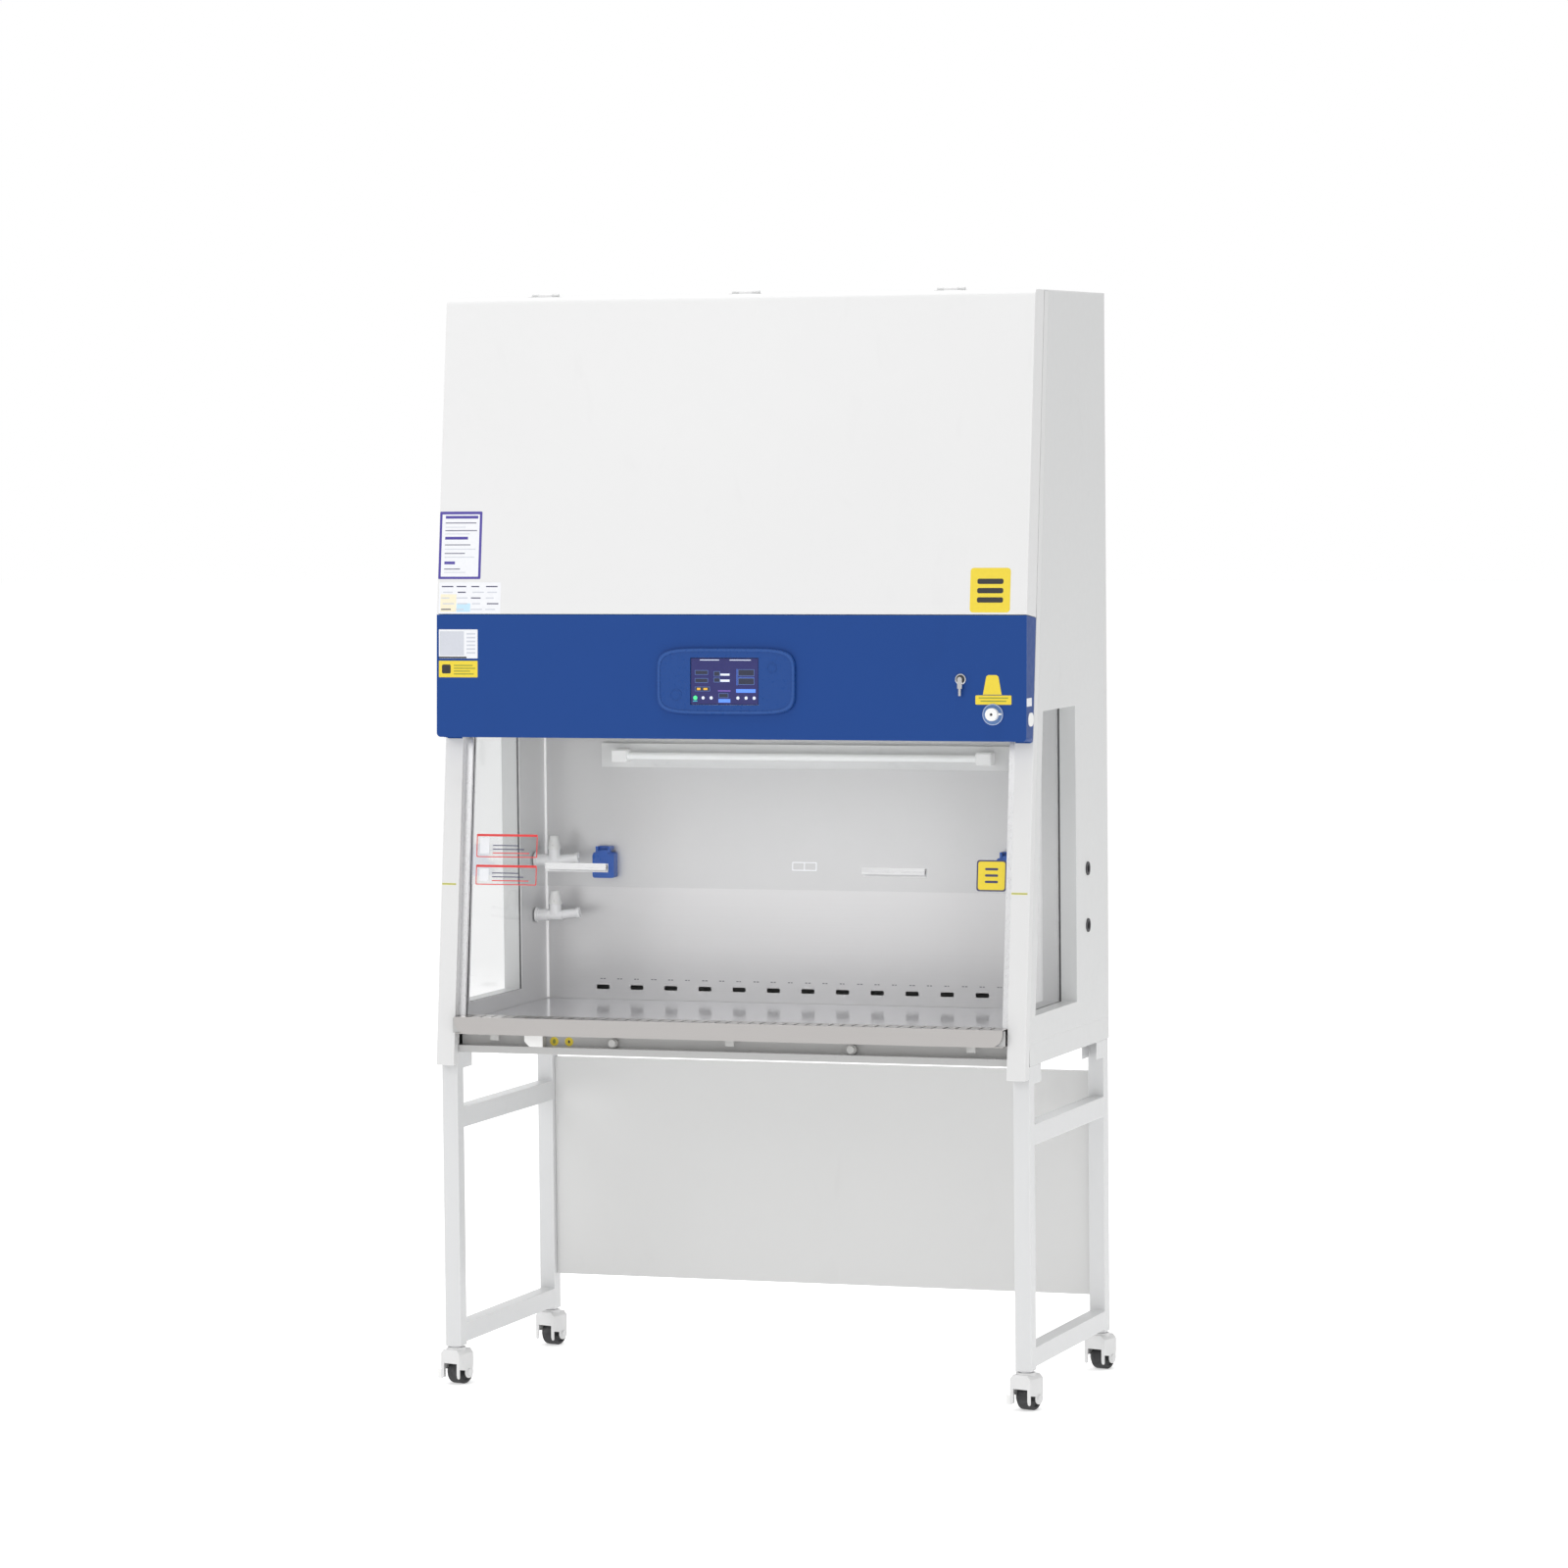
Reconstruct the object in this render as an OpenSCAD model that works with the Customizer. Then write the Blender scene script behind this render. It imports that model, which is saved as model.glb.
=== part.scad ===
// Biosafety cabinet on a wheeled stand. Millimetres, +Z up, +X to the right of a
// user who faces +Y. The origin is on the floor under the middle of the cabinet.
// The front leans back: heights up the lean are called u, depths behind the seam
// between the front shells and the side panels are called n.

/* [Overall] */
// Width over the side panels
cabinet_w = 1300; // [1100:10:1800]
// Height of the roof above the floor
top_z = 2305; // [2200:5:2800]
// Depth of a side panel along its foot
side_d = 630; // [580:5:760]
// Lean of the front from the vertical, in degrees
slope = 6.5; // [4:0.5:8]
// Height of the underside of the base pan
base_z = 713; // [600:1:860]
// Height of the base pan
base_h = 47; // [40:1:60]
// Thickness of the painted sheet steel
sheet_t = 2; // [1.5:0.1:2.4]
// Thickness of the stainless chamber sheet
liner_t = 1.5; // [1:0.1:2]
// Distance from a side panel's outer face to the chamber's face
wall_gap = 45; // [43:1:60]
// Depth of the return air duct behind the back wall
duct_d = 92; // [70:1:110]

/* [Front shells] */
// Depth of the upper cover in front of the seam
cover_d = 67; // [50:0.5:80]
// Depth of the upper cover at the roof
cover_top_d = 63; // [45:0.5:80]
// Depth of the control hood in front of the seam, at its upper edge
hood_d = 66.5; // [55:0.5:80]
// Angle by which the hood's front stands steeper than the lean, in degrees
hood_tilt = 4.5; // [0:0.5:6]
// Height of the hood's lower front edge above the work surface
hood_up = 601; // [560:1:700]
// Height of the hood's front
hood_h = 258.5; // [220:0.5:300]
// Radius of the hood's lower corners
hood_corner_r = 9; // [4:1:14]
// Gap between the cover and the hood
shell_gap = 1.5; // [1:0.1:3]
// Radius of the cover's upper front bend
cover_bend_r = 15; // [8:1:24]
// Depth of the folded returns of the shells
shell_return = 20; // [12:1:30]

/* [Cover hinges] */
// Spacing of the three hinges along the roof edge
hinge_pitch = 450; // [300:10:500]
// Length of a hinge
hinge_l = 60; // [40:1:90]
// Radius of a hinge knuckle
knuckle_r = 4; // [3.5:0.1:5]
// Radius of a hinge pin
hinge_pin_r = 2; // [1.5:0.1:2.5]
// Width of a hinge leaf
leaf_d = 26; // [18:1:34]

/* [Posts] */
// Width of a front post
post_w = 40; // [36:1:50]
// Depth of a front post
post_d = 28; // [24:1:29]
// Set-back of a post's face behind the seam
post_n = 5; // [4:0.5:8]
// Overhang of a post below the base pan
post_drop = 26; // [10:1:34]

/* [Chamber] */
// Height of the work surface above the base pan's rim
work_up = 20; // [18:1:30]
// Clear height over the work surface
chamber_h = 675; // [600:5:760]
// Height of the armrest above the work surface
armrest_up = 11; // [6:1:20]
// Height of the armrest's front lip
lip_h = 36; // [28:1:44]
// Radius of the lip's lower corners
lip_r = 28; // [10:1:32]
// Depth of the armrest, front to back
armrest_d = 60; // [50:1:70]
// Distance of the armrest's lip in front of the seam at the base pan
lip_out = 6; // [3:1:10]
// Length of an intake slot
slot_l = 40; // [24:1:44]
// Width of an intake slot
slot_w = 4; // [3:0.5:6]
// Spacing of the intake slots
slot_pitch = 25; // [15:1:40]
// Depth of the work surface's folded edge
fold_d = 20; // [14:1:20]
// Number of slots in the back wall
back_slots = 13; // [7:2:15]
// Spacing of the back wall's slots
back_slot_pitch = 79; // [70:1:85]
// Width of a back wall slot
back_slot_w = 30; // [20:1:40]
// Height of a back wall slot
back_slot_h = 10; // [6:1:16]
// Height of those slots above the work surface
back_slot_up = 27; // [16:1:40]

/* [Side windows] */
// Height of a window's sill above the work surface
sill_up = 34; // [20:1:60]
// Height of a window
window_h = 624; // [500:1:640]
// Width of the panel left in front of a window
window_front = 68; // [60:1:90]
// Width of the panel left behind a window
window_back = 242; // [210:1:300]
// Thickness of the window glass
pane_t = 6; // [5:0.5:8]
// Overlap of a pane beyond its opening
pane_lap = 8; // [5:1:12]
// Thickness of the window seal
seal_t = 2.5; // [2:0.5:4]
// Radius of a service port's hole
port_r = 8.5; // [6:0.5:10]
// Radius of a service port's rubber flange
port_flange_r = 14.5; // [13:0.5:16]
// Heights of the service ports above the work surface
port_up = [188.6, 309];
// Distance of the service ports from the rear
port_back = 156.5; // [140:0.5:170]

/* [Sash] */
// Height of the sash's lower edge above the armrest at rest
opening_h = 275; // [200:5:300]
// Length of the sash glass up the lean
sash_h = 610; // [560:5:640]
// Thickness of the sash glass
sash_t = 6; // [5:0.5:8]
// Depth of the sash's middle plane behind the seam
sash_n = 32; // [30:0.5:34]
// Length of a sash handle
handle_l = 137; // [100:1:160]
// Distance of a handle's middle from the cabinet's middle
handle_x = 351.5; // [300:0.5:400]
// Height of a handle's middle above the glass edge
handle_up = 39; // [25:1:60]
// Height of the counterweight's lower edge up the lean at rest
weight_u = 1120; // [1110:1:1140]
// Height of the counterweight
weight_h = 57; // [50:1:60]
// Depth of the counterweight
weight_d = 25; // [20:1:28]
// Radius of a counterweight rod
rod_r = 5; // [4:0.5:6]
// Radius of a sash pulley
pulley_r = 30; // [25:1:32]
// Radius of the pulley shaft
shaft_r = 6; // [5:0.5:8]

/* [Fan and filters] */
// Height of the supply filter
supply_h = 75; // [60:1:90]
// Height of the exhaust filter
exhaust_h = 120; // [100:1:140]
// Spacing of the filter pleats
pleat_pitch = 20; // [14:1:30]
// Outer radius of the fan wheel
fan_r = 120; // [100:1:122]
// Width of the fan wheel
fan_w = 104; // [80:1:108]
// Number of fan blades
blades = 24; // [16:1:36]
// Growth of the fan housing's radius round the wheel
scroll_growth = 60; // [40:1:70]
// Width of the fan housing
scroll_w = 134; // [125:1:150]

/* [Stand] */
// Width of the square stand tube
leg_w = 35; // [30:1:44]
// Wall of the stand tube
leg_wall = 2; // [1.5:0.5:3]
// Height of a leg's foot plate above the floor
leg_z = 83; // [83:1:95]
// Height of the upper bracket of a leg
bracket_h = 38; // [30:1:50]
// Length of the upper bracket of a leg
bracket_l = 85; // [60:1:100]
// Height of the upper side rail's underside
upper_rail_z = 548; // [480:1:600]
// Height of the upper side rail
upper_rail_h = 43; // [35:1:50]
// Height of the lower side rail's underside
lower_rail_z = 89; // [87:1:140]
// Height of the lower side rail
lower_rail_h = 40; // [35:1:50]
// Height of the back panel's lower edge
back_panel_z = 161; // [140:1:200]
// Height of the back panel
back_panel_h = 482; // [400:1:500]

/* [Casters] */
// Radius of a caster wheel
wheel_r = 26; // [21:0.5:26]
// Width of a caster wheel's tread
wheel_w = 32; // [26:1:34]
// Distance of the axle behind the swivel axis
trail = 12; // [8:1:16]
// Rest angle of the casters, in degrees
caster_turn = -16.5; // [-30:0.5:30]
// Radius of the swivel stem
stem_r = 5; // [4:0.5:6]
// Radius of a caster axle
axle_r = 4; // [3:0.5:5]

/* [Fits] */
// Radial clearance of a running bore
run_fit = 0.05; // [0.02:0.01:0.1]
// Gap of a piece to its seat
seat_gap = 0.3; // [0.2:0.1:0.5]

/* [Hidden] */
$fn = 64;

painted = [0.92, 0.93, 0.93];
panel_grey = [0.83, 0.83, 0.83];
hood_blue = [0.16, 0.30, 0.55];
steel = [0.72, 0.70, 0.69];
bright = [0.80, 0.80, 0.82];
black = [0.15, 0.15, 0.16];
white = [0.95, 0.95, 0.94];
glass = [0.75, 0.85, 0.87, 0.35];

// Main planes
half_w = cabinet_w / 2;
rear_y = side_d / 2 + 3;
seam_base_y = rear_y - side_d;
seam_z = base_z + base_h;
skin_x = half_w - sheet_t;
liner_x = half_w - wall_gap;
post_x = half_w - post_w;
work_z = seam_z + work_up;
armrest_z = work_z + armrest_up;
chamber_z = work_z + chamber_h;
back_y = rear_y - duct_d;
skin_top = top_z - sheet_t;
rear_in = rear_y - sheet_t;

// A plane parallel to the seam at depth n meets height z at slope_y(z, n)
function slope_y(z, n = 0) = seam_base_y + (z - base_z) * tan(slope) + n / cos(slope);
// Point in the side view at height u up the lean and depth n behind the seam
function yz(u, n) = [seam_base_y + u * sin(slope) + n * cos(slope),
    base_z + u * cos(slope) - n * sin(slope)];
// Height up the lean of the point at depth n that lies at height z
function u_at(z, n) = (z - base_z + n * sin(slope)) / cos(slope);
// Height up the lean of a point of the side view
function u_of(p) = (p.x - seam_base_y) * sin(slope) + (p.y - base_z) * cos(slope);

// Folded sheet in the side view: offset of an open path, and bends at its corners
function unit(v) = v / norm(v);
function left(v) = [-v.y, v.x];
function side(p, q) = left(unit(q - p));
function mitre(p, q, r, t) =
    let (m = unit(side(p, q) + side(q, r))) q + m * t / (m * side(p, q));
function inner(path, t) = [for (i = [0 : len(path) - 1])
    i == 0 ? path[0] + side(path[0], path[1]) * t :
    i == len(path) - 1 ? path[i] + side(path[i - 1], path[i]) * t :
    mitre(path[i - 1], path[i], path[i + 1], t)];
function reversed(list) = [for (i = [len(list) - 1 : -1 : 0]) list[i]];
function closed_inner(path, t) = [for (i = [0 : len(path) - 1])
    mitre(path[(i + len(path) - 1) % len(path)], path[i], path[(i + 1) % len(path)], t)];
function bend(p, q, r, rad, steps = 5) =
    let (a = unit(p - q), b = unit(r - q), half = acos(a * b) / 2,
        c = q + unit(a + b) * rad / sin(half),
        s = q + a * rad / tan(half) - c, e = q + b * rad / tan(half) - c,
        a0 = atan2(s.y, s.x), turn = atan2(s.x * e.y - s.y * e.x, s * e))
    [for (i = [0 : steps])
        c + rad * [cos(a0 + turn * i / steps), sin(a0 + turn * i / steps)]];
module sheet(path, t) polygon(concat(path, reversed(inner(path, t))));

// Placing: side view across the width, front view on the lean, mirrored pairs
module across(x0, x1)
    translate([x0, 0, 0]) rotate([90, 0, 90]) linear_extrude(x1 - x0) children();
module on_slope() translate([0, seam_base_y, base_z]) rotate([-slope, 0, 0]) children();
module facing(n0, n1)
    on_slope() translate([0, n1, 0]) rotate([90, 0, 0]) linear_extrude(n1 - n0) children();
module upright(y0, y1)
    translate([0, y1, 0]) rotate([90, 0, 0]) linear_extrude(y1 - y0) children();
module along_slope(u0, u1) on_slope() translate([0, 0, u0]) linear_extrude(u1 - u0) children();
module pair() for (s = [0, 1]) mirror([s, 0, 0]) children();
module box(x0, x1, y0, y1, z0, z1)
    translate([x0, y0, z0]) cube([x1 - x0, y1 - y0, z1 - z0]);
module span(x0, x1, y0, y1) translate([x0, y0]) square([x1 - x0, y1 - y0]);
module rounded(w, h, r) {
    square([w - 2 * r, h], center = true);
    square([w, h - 2 * r], center = true);
    for (x = [-1, 1], y = [-1, 1]) translate([x * (w / 2 - r), y * (h / 2 - r)]) circle(r);
}
module tube(w, d, l, wall) difference() {
    translate([-w / 2, -d / 2, 0]) cube([w, d, l]);
    translate([wall - w / 2, wall - d / 2, -1]) cube([w - 2 * wall, d - 2 * wall, l + 2]);
}

// ---- Stand ----
front_leg_y = slope_y(base_z, post_n + post_d) + seat_gap;
rear_leg_y = rear_y - 8 - leg_w;
leg_x = half_w - leg_w / 2;
leg_ys = [front_leg_y + leg_w / 2, rear_leg_y + leg_w / 2];
foot_t = 3;

module leg(y, inward) {
    translate([leg_x, y, leg_z]) tube(leg_w, leg_w, base_z - leg_z, leg_wall);
    difference() {
        box(leg_x - leg_w / 2, leg_x + leg_w / 2, y - leg_w / 2, y + leg_w / 2,
            leg_z, leg_z + foot_t);
        translate([leg_x, y, leg_z - 1]) cylinder(r = stem_r + seat_gap, h = foot_t + 2);
    }
    // Upper bracket: a channel that spreads the load under the base pan
    reach = inward * (bracket_l - leg_w / 2);
    face = inward * leg_w / 2;
    difference() {
        box(half_w - leg_w, half_w, y + min(face, reach), y + max(face, reach),
            base_z - bracket_h, base_z);
        box(half_w - leg_w + leg_wall, half_w - leg_wall,
            y + min(face, reach) - 1, y + max(face, reach) + 1,
            base_z - bracket_h - 1, base_z - leg_wall);
    }
}
module rail(z, h) {
    y0 = leg_ys[0] + leg_w / 2;
    translate([leg_x, y0, z + h / 2]) rotate([-90, 0, 0])
        tube(leg_w, h, leg_ys[1] - leg_w / 2 - y0, leg_wall);
}
module stand_frame_right() color(panel_grey) {
    leg(leg_ys[0], 1);
    leg(leg_ys[1], -1);
    rail(upper_rail_z, upper_rail_h);
    rail(lower_rail_z, lower_rail_h);
}
module stand_frame_left() mirror([1, 0, 0]) stand_frame_right();

module stand_back_panel() color(panel_grey) {
    w = half_w - leg_w - seat_gap;
    y = leg_ys[1] - 2;
    z = back_panel_z;
    top = z + back_panel_h;
    difference() {
        box(-w, w, y, y + 16, z, top);
        box(-w + sheet_t, w - sheet_t, y + sheet_t, y + 17, z + sheet_t, top - sheet_t);
    }
}

// ---- Casters ----
swivel_gap = 3.3;
swivel_top = leg_z - swivel_gap;
hood_w = 50;
hood_shoulder_z = 67;
crown_z = 60;
crown_l = [-22, 26];

module caster_stems() color(bright) for (s = [-1, 1], y = leg_ys) translate([s * leg_x, y, 0]) {
    translate([0, 0, crown_z - 5]) cylinder(r = stem_r, h = leg_z + 16 - crown_z + 5);
    translate([0, 0, swivel_top + seat_gap]) cylinder(r = 15, h = leg_z - swivel_top - seat_gap);
    translate([0, 0, crown_z - 5]) cylinder(r = stem_r + 3, h = 5 - seat_gap);
    translate([0, 0, leg_z + foot_t]) cylinder(r = stem_r + 4, h = 6);
}
module at_caster(s, y) translate([s * leg_x, y, 0]) rotate([0, 0, caster_turn]) children();
cheek_r = 13;
module caster_cheek() {
    polygon([[crown_l[0], hood_shoulder_z], [crown_l[1], hood_shoulder_z],
        [crown_l[1], 40], [trail + cheek_r * cos(20), wheel_r + cheek_r * sin(20)],
        [trail - cheek_r * cos(20), wheel_r + cheek_r * sin(20)], [crown_l[0], 34]]);
    translate([trail, wheel_r]) circle(cheek_r);
}
module caster_fork(s, y) color(white) at_caster(s, y) {
    difference() {
        union() {
            // Pressed hood with sloping shoulders
            translate([0, crown_l[1], 0]) rotate([90, 0, 0])
                linear_extrude(crown_l[1] - crown_l[0]) polygon([
                    [-hood_w / 2, crown_z], [hood_w / 2, crown_z],
                    [hood_w / 2, hood_shoulder_z], [hood_w / 2 - 8, swivel_top - 4],
                    [8 - hood_w / 2, swivel_top - 4], [-hood_w / 2, hood_shoulder_z]]);
            translate([0, 0, crown_z]) cylinder(r = 20, h = swivel_top - crown_z);
        }
        translate([0, 0, crown_z - 1]) cylinder(r = stem_r + run_fit, h = 40);
    }
    for (m = [0, 1]) mirror([m, 0, 0])
        across(hood_w / 2 - 2, hood_w / 2) caster_cheek();
    // Front skirt over the wheel
    box(-hood_w / 2, hood_w / 2, crown_l[0], crown_l[0] + 2, 46, crown_z);
    // Pin of the brake lever
    if (y == leg_ys[0]) translate([-hood_w / 2 + 1, brake_y, brake_z]) rotate([0, -90, 0])
        cylinder(r = brake_pin_r, h = 7);
    // Axle with its nuts
    translate([-hood_w / 2 - 3, trail, wheel_r]) rotate([0, 90, 0]) {
        cylinder(r = axle_r, h = hood_w + 6);
        cylinder(r = 6.5, h = 3);
        translate([0, 0, hood_w + 3]) cylinder(r = 6.5, h = 3);
    }
}
module caster_wheel(s, y) color(black) at_caster(s, y)
    translate([0, trail, wheel_r]) rotate([0, 90, 0]) rotate_extrude() {
        edge = 4;
        hub = hood_w / 2 - 2 - seat_gap;
        span(axle_r + run_fit, 9, -hub, hub);
        span(8, wheel_r - edge, 3 - wheel_w / 2, wheel_w / 2 - 3);
        span(wheel_r - 7, wheel_r, edge - wheel_w / 2, wheel_w / 2 - edge);
        span(wheel_r - 7, wheel_r - edge, -wheel_w / 2, wheel_w / 2);
        for (e = [-1, 1]) translate([wheel_r - edge, e * (wheel_w / 2 - edge)])
            circle(edge);
    }
brake_y = -10;
brake_z = 42;
brake_pin_r = 2.5;
brake_x = -hood_w / 2 - seat_gap;
module brake_lever(s) color(white) at_caster(s, leg_ys[0]) {
    difference() {
        union() {
            translate([brake_x, brake_y, brake_z]) rotate([0, -90, 0]) cylinder(r = 6, h = 4);
            box(brake_x - 4, brake_x, brake_y - 6, brake_y + 4, 14, brake_z);
            box(brake_x - 11, brake_x, brake_y - 9, brake_y - 6, 12, 31);
        }
        translate([brake_x + 1, brake_y, brake_z]) rotate([0, -90, 0])
            cylinder(r = brake_pin_r + run_fit, h = 10);
    }
}

// ---- Base pan and what hangs under the armrest ----
lip_y = seam_base_y - lip_out;
ledge_front = seam_base_y + 28;
ledge_z = base_z + 15;
riser_y = ledge_front + 22;
pan_front = slope_y(seam_z, post_n + post_d) + seat_gap;
lip_z = armrest_z - lip_h;

module base_pan() color(panel_grey) {
    inside = post_x - 1;
    across(-inside, inside) sheet([[riser_y, lip_z], [riser_y, ledge_z],
        [ledge_front, ledge_z], [ledge_front, base_z], [rear_y, base_z],
        [rear_y, seam_z]], sheet_t);
    difference() {
        box(-half_w, half_w, pan_front, rear_y, base_z, seam_z);
        box(-skin_x, skin_x, pan_front - 1, rear_in, base_z + sheet_t, seam_z + 1);
    }
}
clip_xs = [-527, 0, 527];
knob_x = 264;
terminal_x = -438.5;
module base_front_fittings() color(white) {
    // Clips that hold the armrest's edge
    for (x = clip_xs) box(x - 9.5, x + 9.5, ledge_front, ledge_front + 3, 740, lip_z);
    // Thumb knobs
    for (s = [-1, 1]) translate([s * knob_x, riser_y, 739]) rotate([90, 0, 0]) {
        cylinder(r = 10.5, h = 12);
        translate([0, 0, 11]) cylinder(r = 8, h = 6);
    }
    // Terminal cover with one bevelled corner
    w = 41;
    upright(ledge_front, riser_y) difference() {
        span(terminal_x - w / 2, terminal_x + w / 2, ledge_z, lip_z - 2);
        polygon([[terminal_x - w / 2 - 1, ledge_z - 1], [terminal_x - w / 2 + 11, ledge_z - 1],
            [terminal_x - w / 2 - 1, ledge_z + 11]]);
    }
}

// ---- Posts, side panels, rear and roof ----
module post_right() color(painted) difference() {
    along_slope(-80, (top_z - base_z) * 1.1) difference() {
        span(post_x, half_w, post_n, post_n + post_d);
        span(post_x + sheet_t, skin_x, post_n + sheet_t, post_n + post_d + 1);
    }
    box(0, cabinet_w, -side_d, side_d, base_z - 200, base_z - post_drop);
    box(0, cabinet_w, -side_d, side_d, skin_top, top_z + 300);
}
module post_left() mirror([1, 0, 0]) post_right();

sill_z = work_z + sill_up;
head_z = sill_z + window_h;
window_rear = rear_y - window_back;
side_n = post_n + post_d + seat_gap;
// Outline of a window, grown by g all round
function window(g) = [
    [slope_y(sill_z - g) + window_front - g, sill_z - g], [window_rear + g, sill_z - g],
    [window_rear + g, head_z + g], [slope_y(head_z + g) + window_front - g, head_z + g]];
port_y = rear_y - port_back;
module at_ports() for (up = port_up)
    translate([0, port_y, work_z + up]) rotate([0, 90, 0]) children();

module side_panel_right() color(panel_grey) {
    difference() {
        across(skin_x, half_w) difference() {
            polygon([[slope_y(seam_z, side_n), seam_z], [rear_in, seam_z],
                [rear_in, skin_top], [slope_y(skin_top, side_n), skin_top]]);
            polygon(window(0));
        }
        at_ports() cylinder(r = port_r + 2.5 + seat_gap, h = cabinet_w);
    }
    // Deep reveal round the window
    across(liner_x + liner_t + pane_t + seal_t, skin_x) difference() {
        polygon(window(sheet_t));
        polygon(window(0));
    }
    // Folded flange along the rear
    box(skin_x - shell_return, skin_x, rear_in - sheet_t, rear_in, seam_z + 10, skin_top - 10);
}
module side_panel_left() mirror([1, 0, 0]) side_panel_right();

inlet_x = 520;
inlet_z = seam_z + 1390;
inlet_w = 50;
inlet_h = 34;
module rear_panel() color(panel_grey) difference() {
    box(-half_w, half_w, rear_in, rear_y, seam_z, skin_top);
    translate([inlet_x, rear_y, inlet_z])
        cube([inlet_w + 2 * seat_gap, 20, inlet_h + 2 * seat_gap], center = true);
}
module mains_inlet() color(black) difference() {
    union() {
        box(inlet_x - inlet_w / 2, inlet_x + inlet_w / 2, rear_y - 24, rear_y,
            inlet_z - inlet_h / 2, inlet_z + inlet_h / 2);
        box(inlet_x - inlet_w / 2 - 4, inlet_x + inlet_w / 2 + 4, rear_in - 3, rear_in,
            inlet_z - inlet_h / 2 - 4, inlet_z + inlet_h / 2 + 4);
    }
    box(inlet_x - 13, inlet_x + 13, rear_y - 18, rear_y + 1, inlet_z - 9, inlet_z + 9);
}

deck_z = top_z - 155;
exhaust_x = 400;
exhaust_y = [back_y - 241, back_y - 6];
exhaust_top = deck_z + sheet_t + exhaust_h;
hinge_y = slope_y(top_z);
hinge_z = top_z + knuckle_r + seat_gap;
hinge_xs = [-hinge_pitch, 0, hinge_pitch];
end_knuckle = hinge_l / 4;
module knuckle(x0, x1) translate([x0, hinge_y, hinge_z]) rotate([0, 90, 0]) difference() {
    cylinder(r = knuckle_r, h = x1 - x0);
    translate([0, 0, -1]) cylinder(r = hinge_pin_r + run_fit, h = x1 - x0 + 2);
}
// A hinge leaf on a skin: full width behind the barrel, cut away at the other's knuckles
module leaf(x, dir, knuckles) {
    clear = knuckle_r + 2 * seat_gap;
    y0 = hinge_y + dir * clear;
    y1 = hinge_y + dir * leaf_d;
    box(x - hinge_l / 2, x + hinge_l / 2, min(y0, y1), max(y0, y1), top_z, top_z + 2);
    for (k = knuckles) {
        box(x + k[0], x + k[1], min(hinge_y, y1), max(hinge_y, y1), top_z, top_z + 1);
        difference() {
            box(x + k[0], x + k[1], min(hinge_y, y0), max(hinge_y, y0), top_z, hinge_z);
            translate([x + k[0] - 1, hinge_y, hinge_z]) rotate([0, 90, 0])
                cylinder(r = hinge_pin_r + run_fit + 0.5, h = k[1] - k[0] + 2);
        }
        knuckle(x + k[0], x + k[1]);
    }
}
module roof_panel() {
    front = hinge_y + seat_gap;
    color(panel_grey) difference() {
        union() {
            box(-half_w, half_w, front, rear_y, skin_top, top_z);
            box(2 - post_x, post_x - 2, front, front + sheet_t, skin_top - shell_return, top_z);
            box(-exhaust_x, exhaust_x, exhaust_y[0], exhaust_y[1], exhaust_top, top_z);
        }
        box(5 - exhaust_x, exhaust_x - 5, exhaust_y[0] + 5, exhaust_y[1] - 5,
            exhaust_top - 1, top_z + 1);
    }
    color(black) for (x = hinge_xs) {
        leaf(x, 1, [[-hinge_l / 2, -hinge_l / 2 + end_knuckle],
            [hinge_l / 2 - end_knuckle, hinge_l / 2]]);
        translate([x - hinge_l / 2, hinge_y, hinge_z]) rotate([0, 90, 0])
            cylinder(r = hinge_pin_r, h = hinge_l);
    }
}
module exhaust_guard() color(panel_grey) difference() {
    rim = 12;
    box(-exhaust_x - rim, exhaust_x + rim, exhaust_y[0] - rim, exhaust_y[1] + rim,
        top_z, top_z + sheet_t);
    pitch = 25;
    bars = floor((exhaust_x - 10) / pitch);
    for (i = [-bars : bars]) box(i * pitch - 9, i * pitch + 9,
        exhaust_y[0] + 8, exhaust_y[1] - 8, top_z - 1, top_z + sheet_t + 1);
}

// ---- Front shells ----
// The hood's front hangs from its upper edge: h is the height above that edge along
// the front, m the depth behind the front
hood_slope = slope - hood_tilt;
hood_top_u = u_at(work_z + hood_up + hood_h * cos(hood_slope), -hood_d);
hood_edge = yz(hood_top_u, -hood_d);
function hood_yz(h, m) = hood_edge + [h * sin(hood_slope) + m * cos(hood_slope),
    h * cos(hood_slope) - m * sin(hood_slope)];
function h_at(z) = (z - hood_edge.y) / cos(hood_slope);
hood_foot = hood_yz(-hood_h, 0);
hood_u = u_of(hood_foot);
module on_hood() translate([0, hood_edge.x, hood_edge.y]) rotate([-hood_slope, 0, 0]) children();
module hood_facing(m0, m1)
    on_hood() translate([0, m1, 0]) rotate([90, 0, 0]) linear_extrude(m1 - m0) children();

cover_u = hood_top_u + shell_gap;
cover_corner = [slope_y(top_z, -cover_top_d), top_z];
cover_rear = [slope_y(top_z), top_z];
function cover_line() = concat([yz(cover_u, shell_return - cover_d), yz(cover_u, -cover_d)],
    bend(yz(cover_u, -cover_d), cover_corner, cover_rear, cover_bend_r), [cover_rear]);
module front_cover() {
    line = cover_line();
    color(painted) {
        across(-half_w, half_w) sheet(line, -sheet_t);
        pair() {
            across(skin_x, half_w) polygon(concat([yz(cover_u, 0)],
                [for (i = [1 : len(line) - 1]) line[i]]));
            // Stiffening fold down the rear of the flange
            along_slope(cover_u + 30, u_at(top_z, 0) - 25)
                span(skin_x - 14, skin_x, -sheet_t, 0);
        }
    }
    color(black) for (x = hinge_xs)
        leaf(x, -1, [[-hinge_l / 2 + end_knuckle + seat_gap,
            hinge_l / 2 - end_knuckle - seat_gap]]);
}

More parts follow.
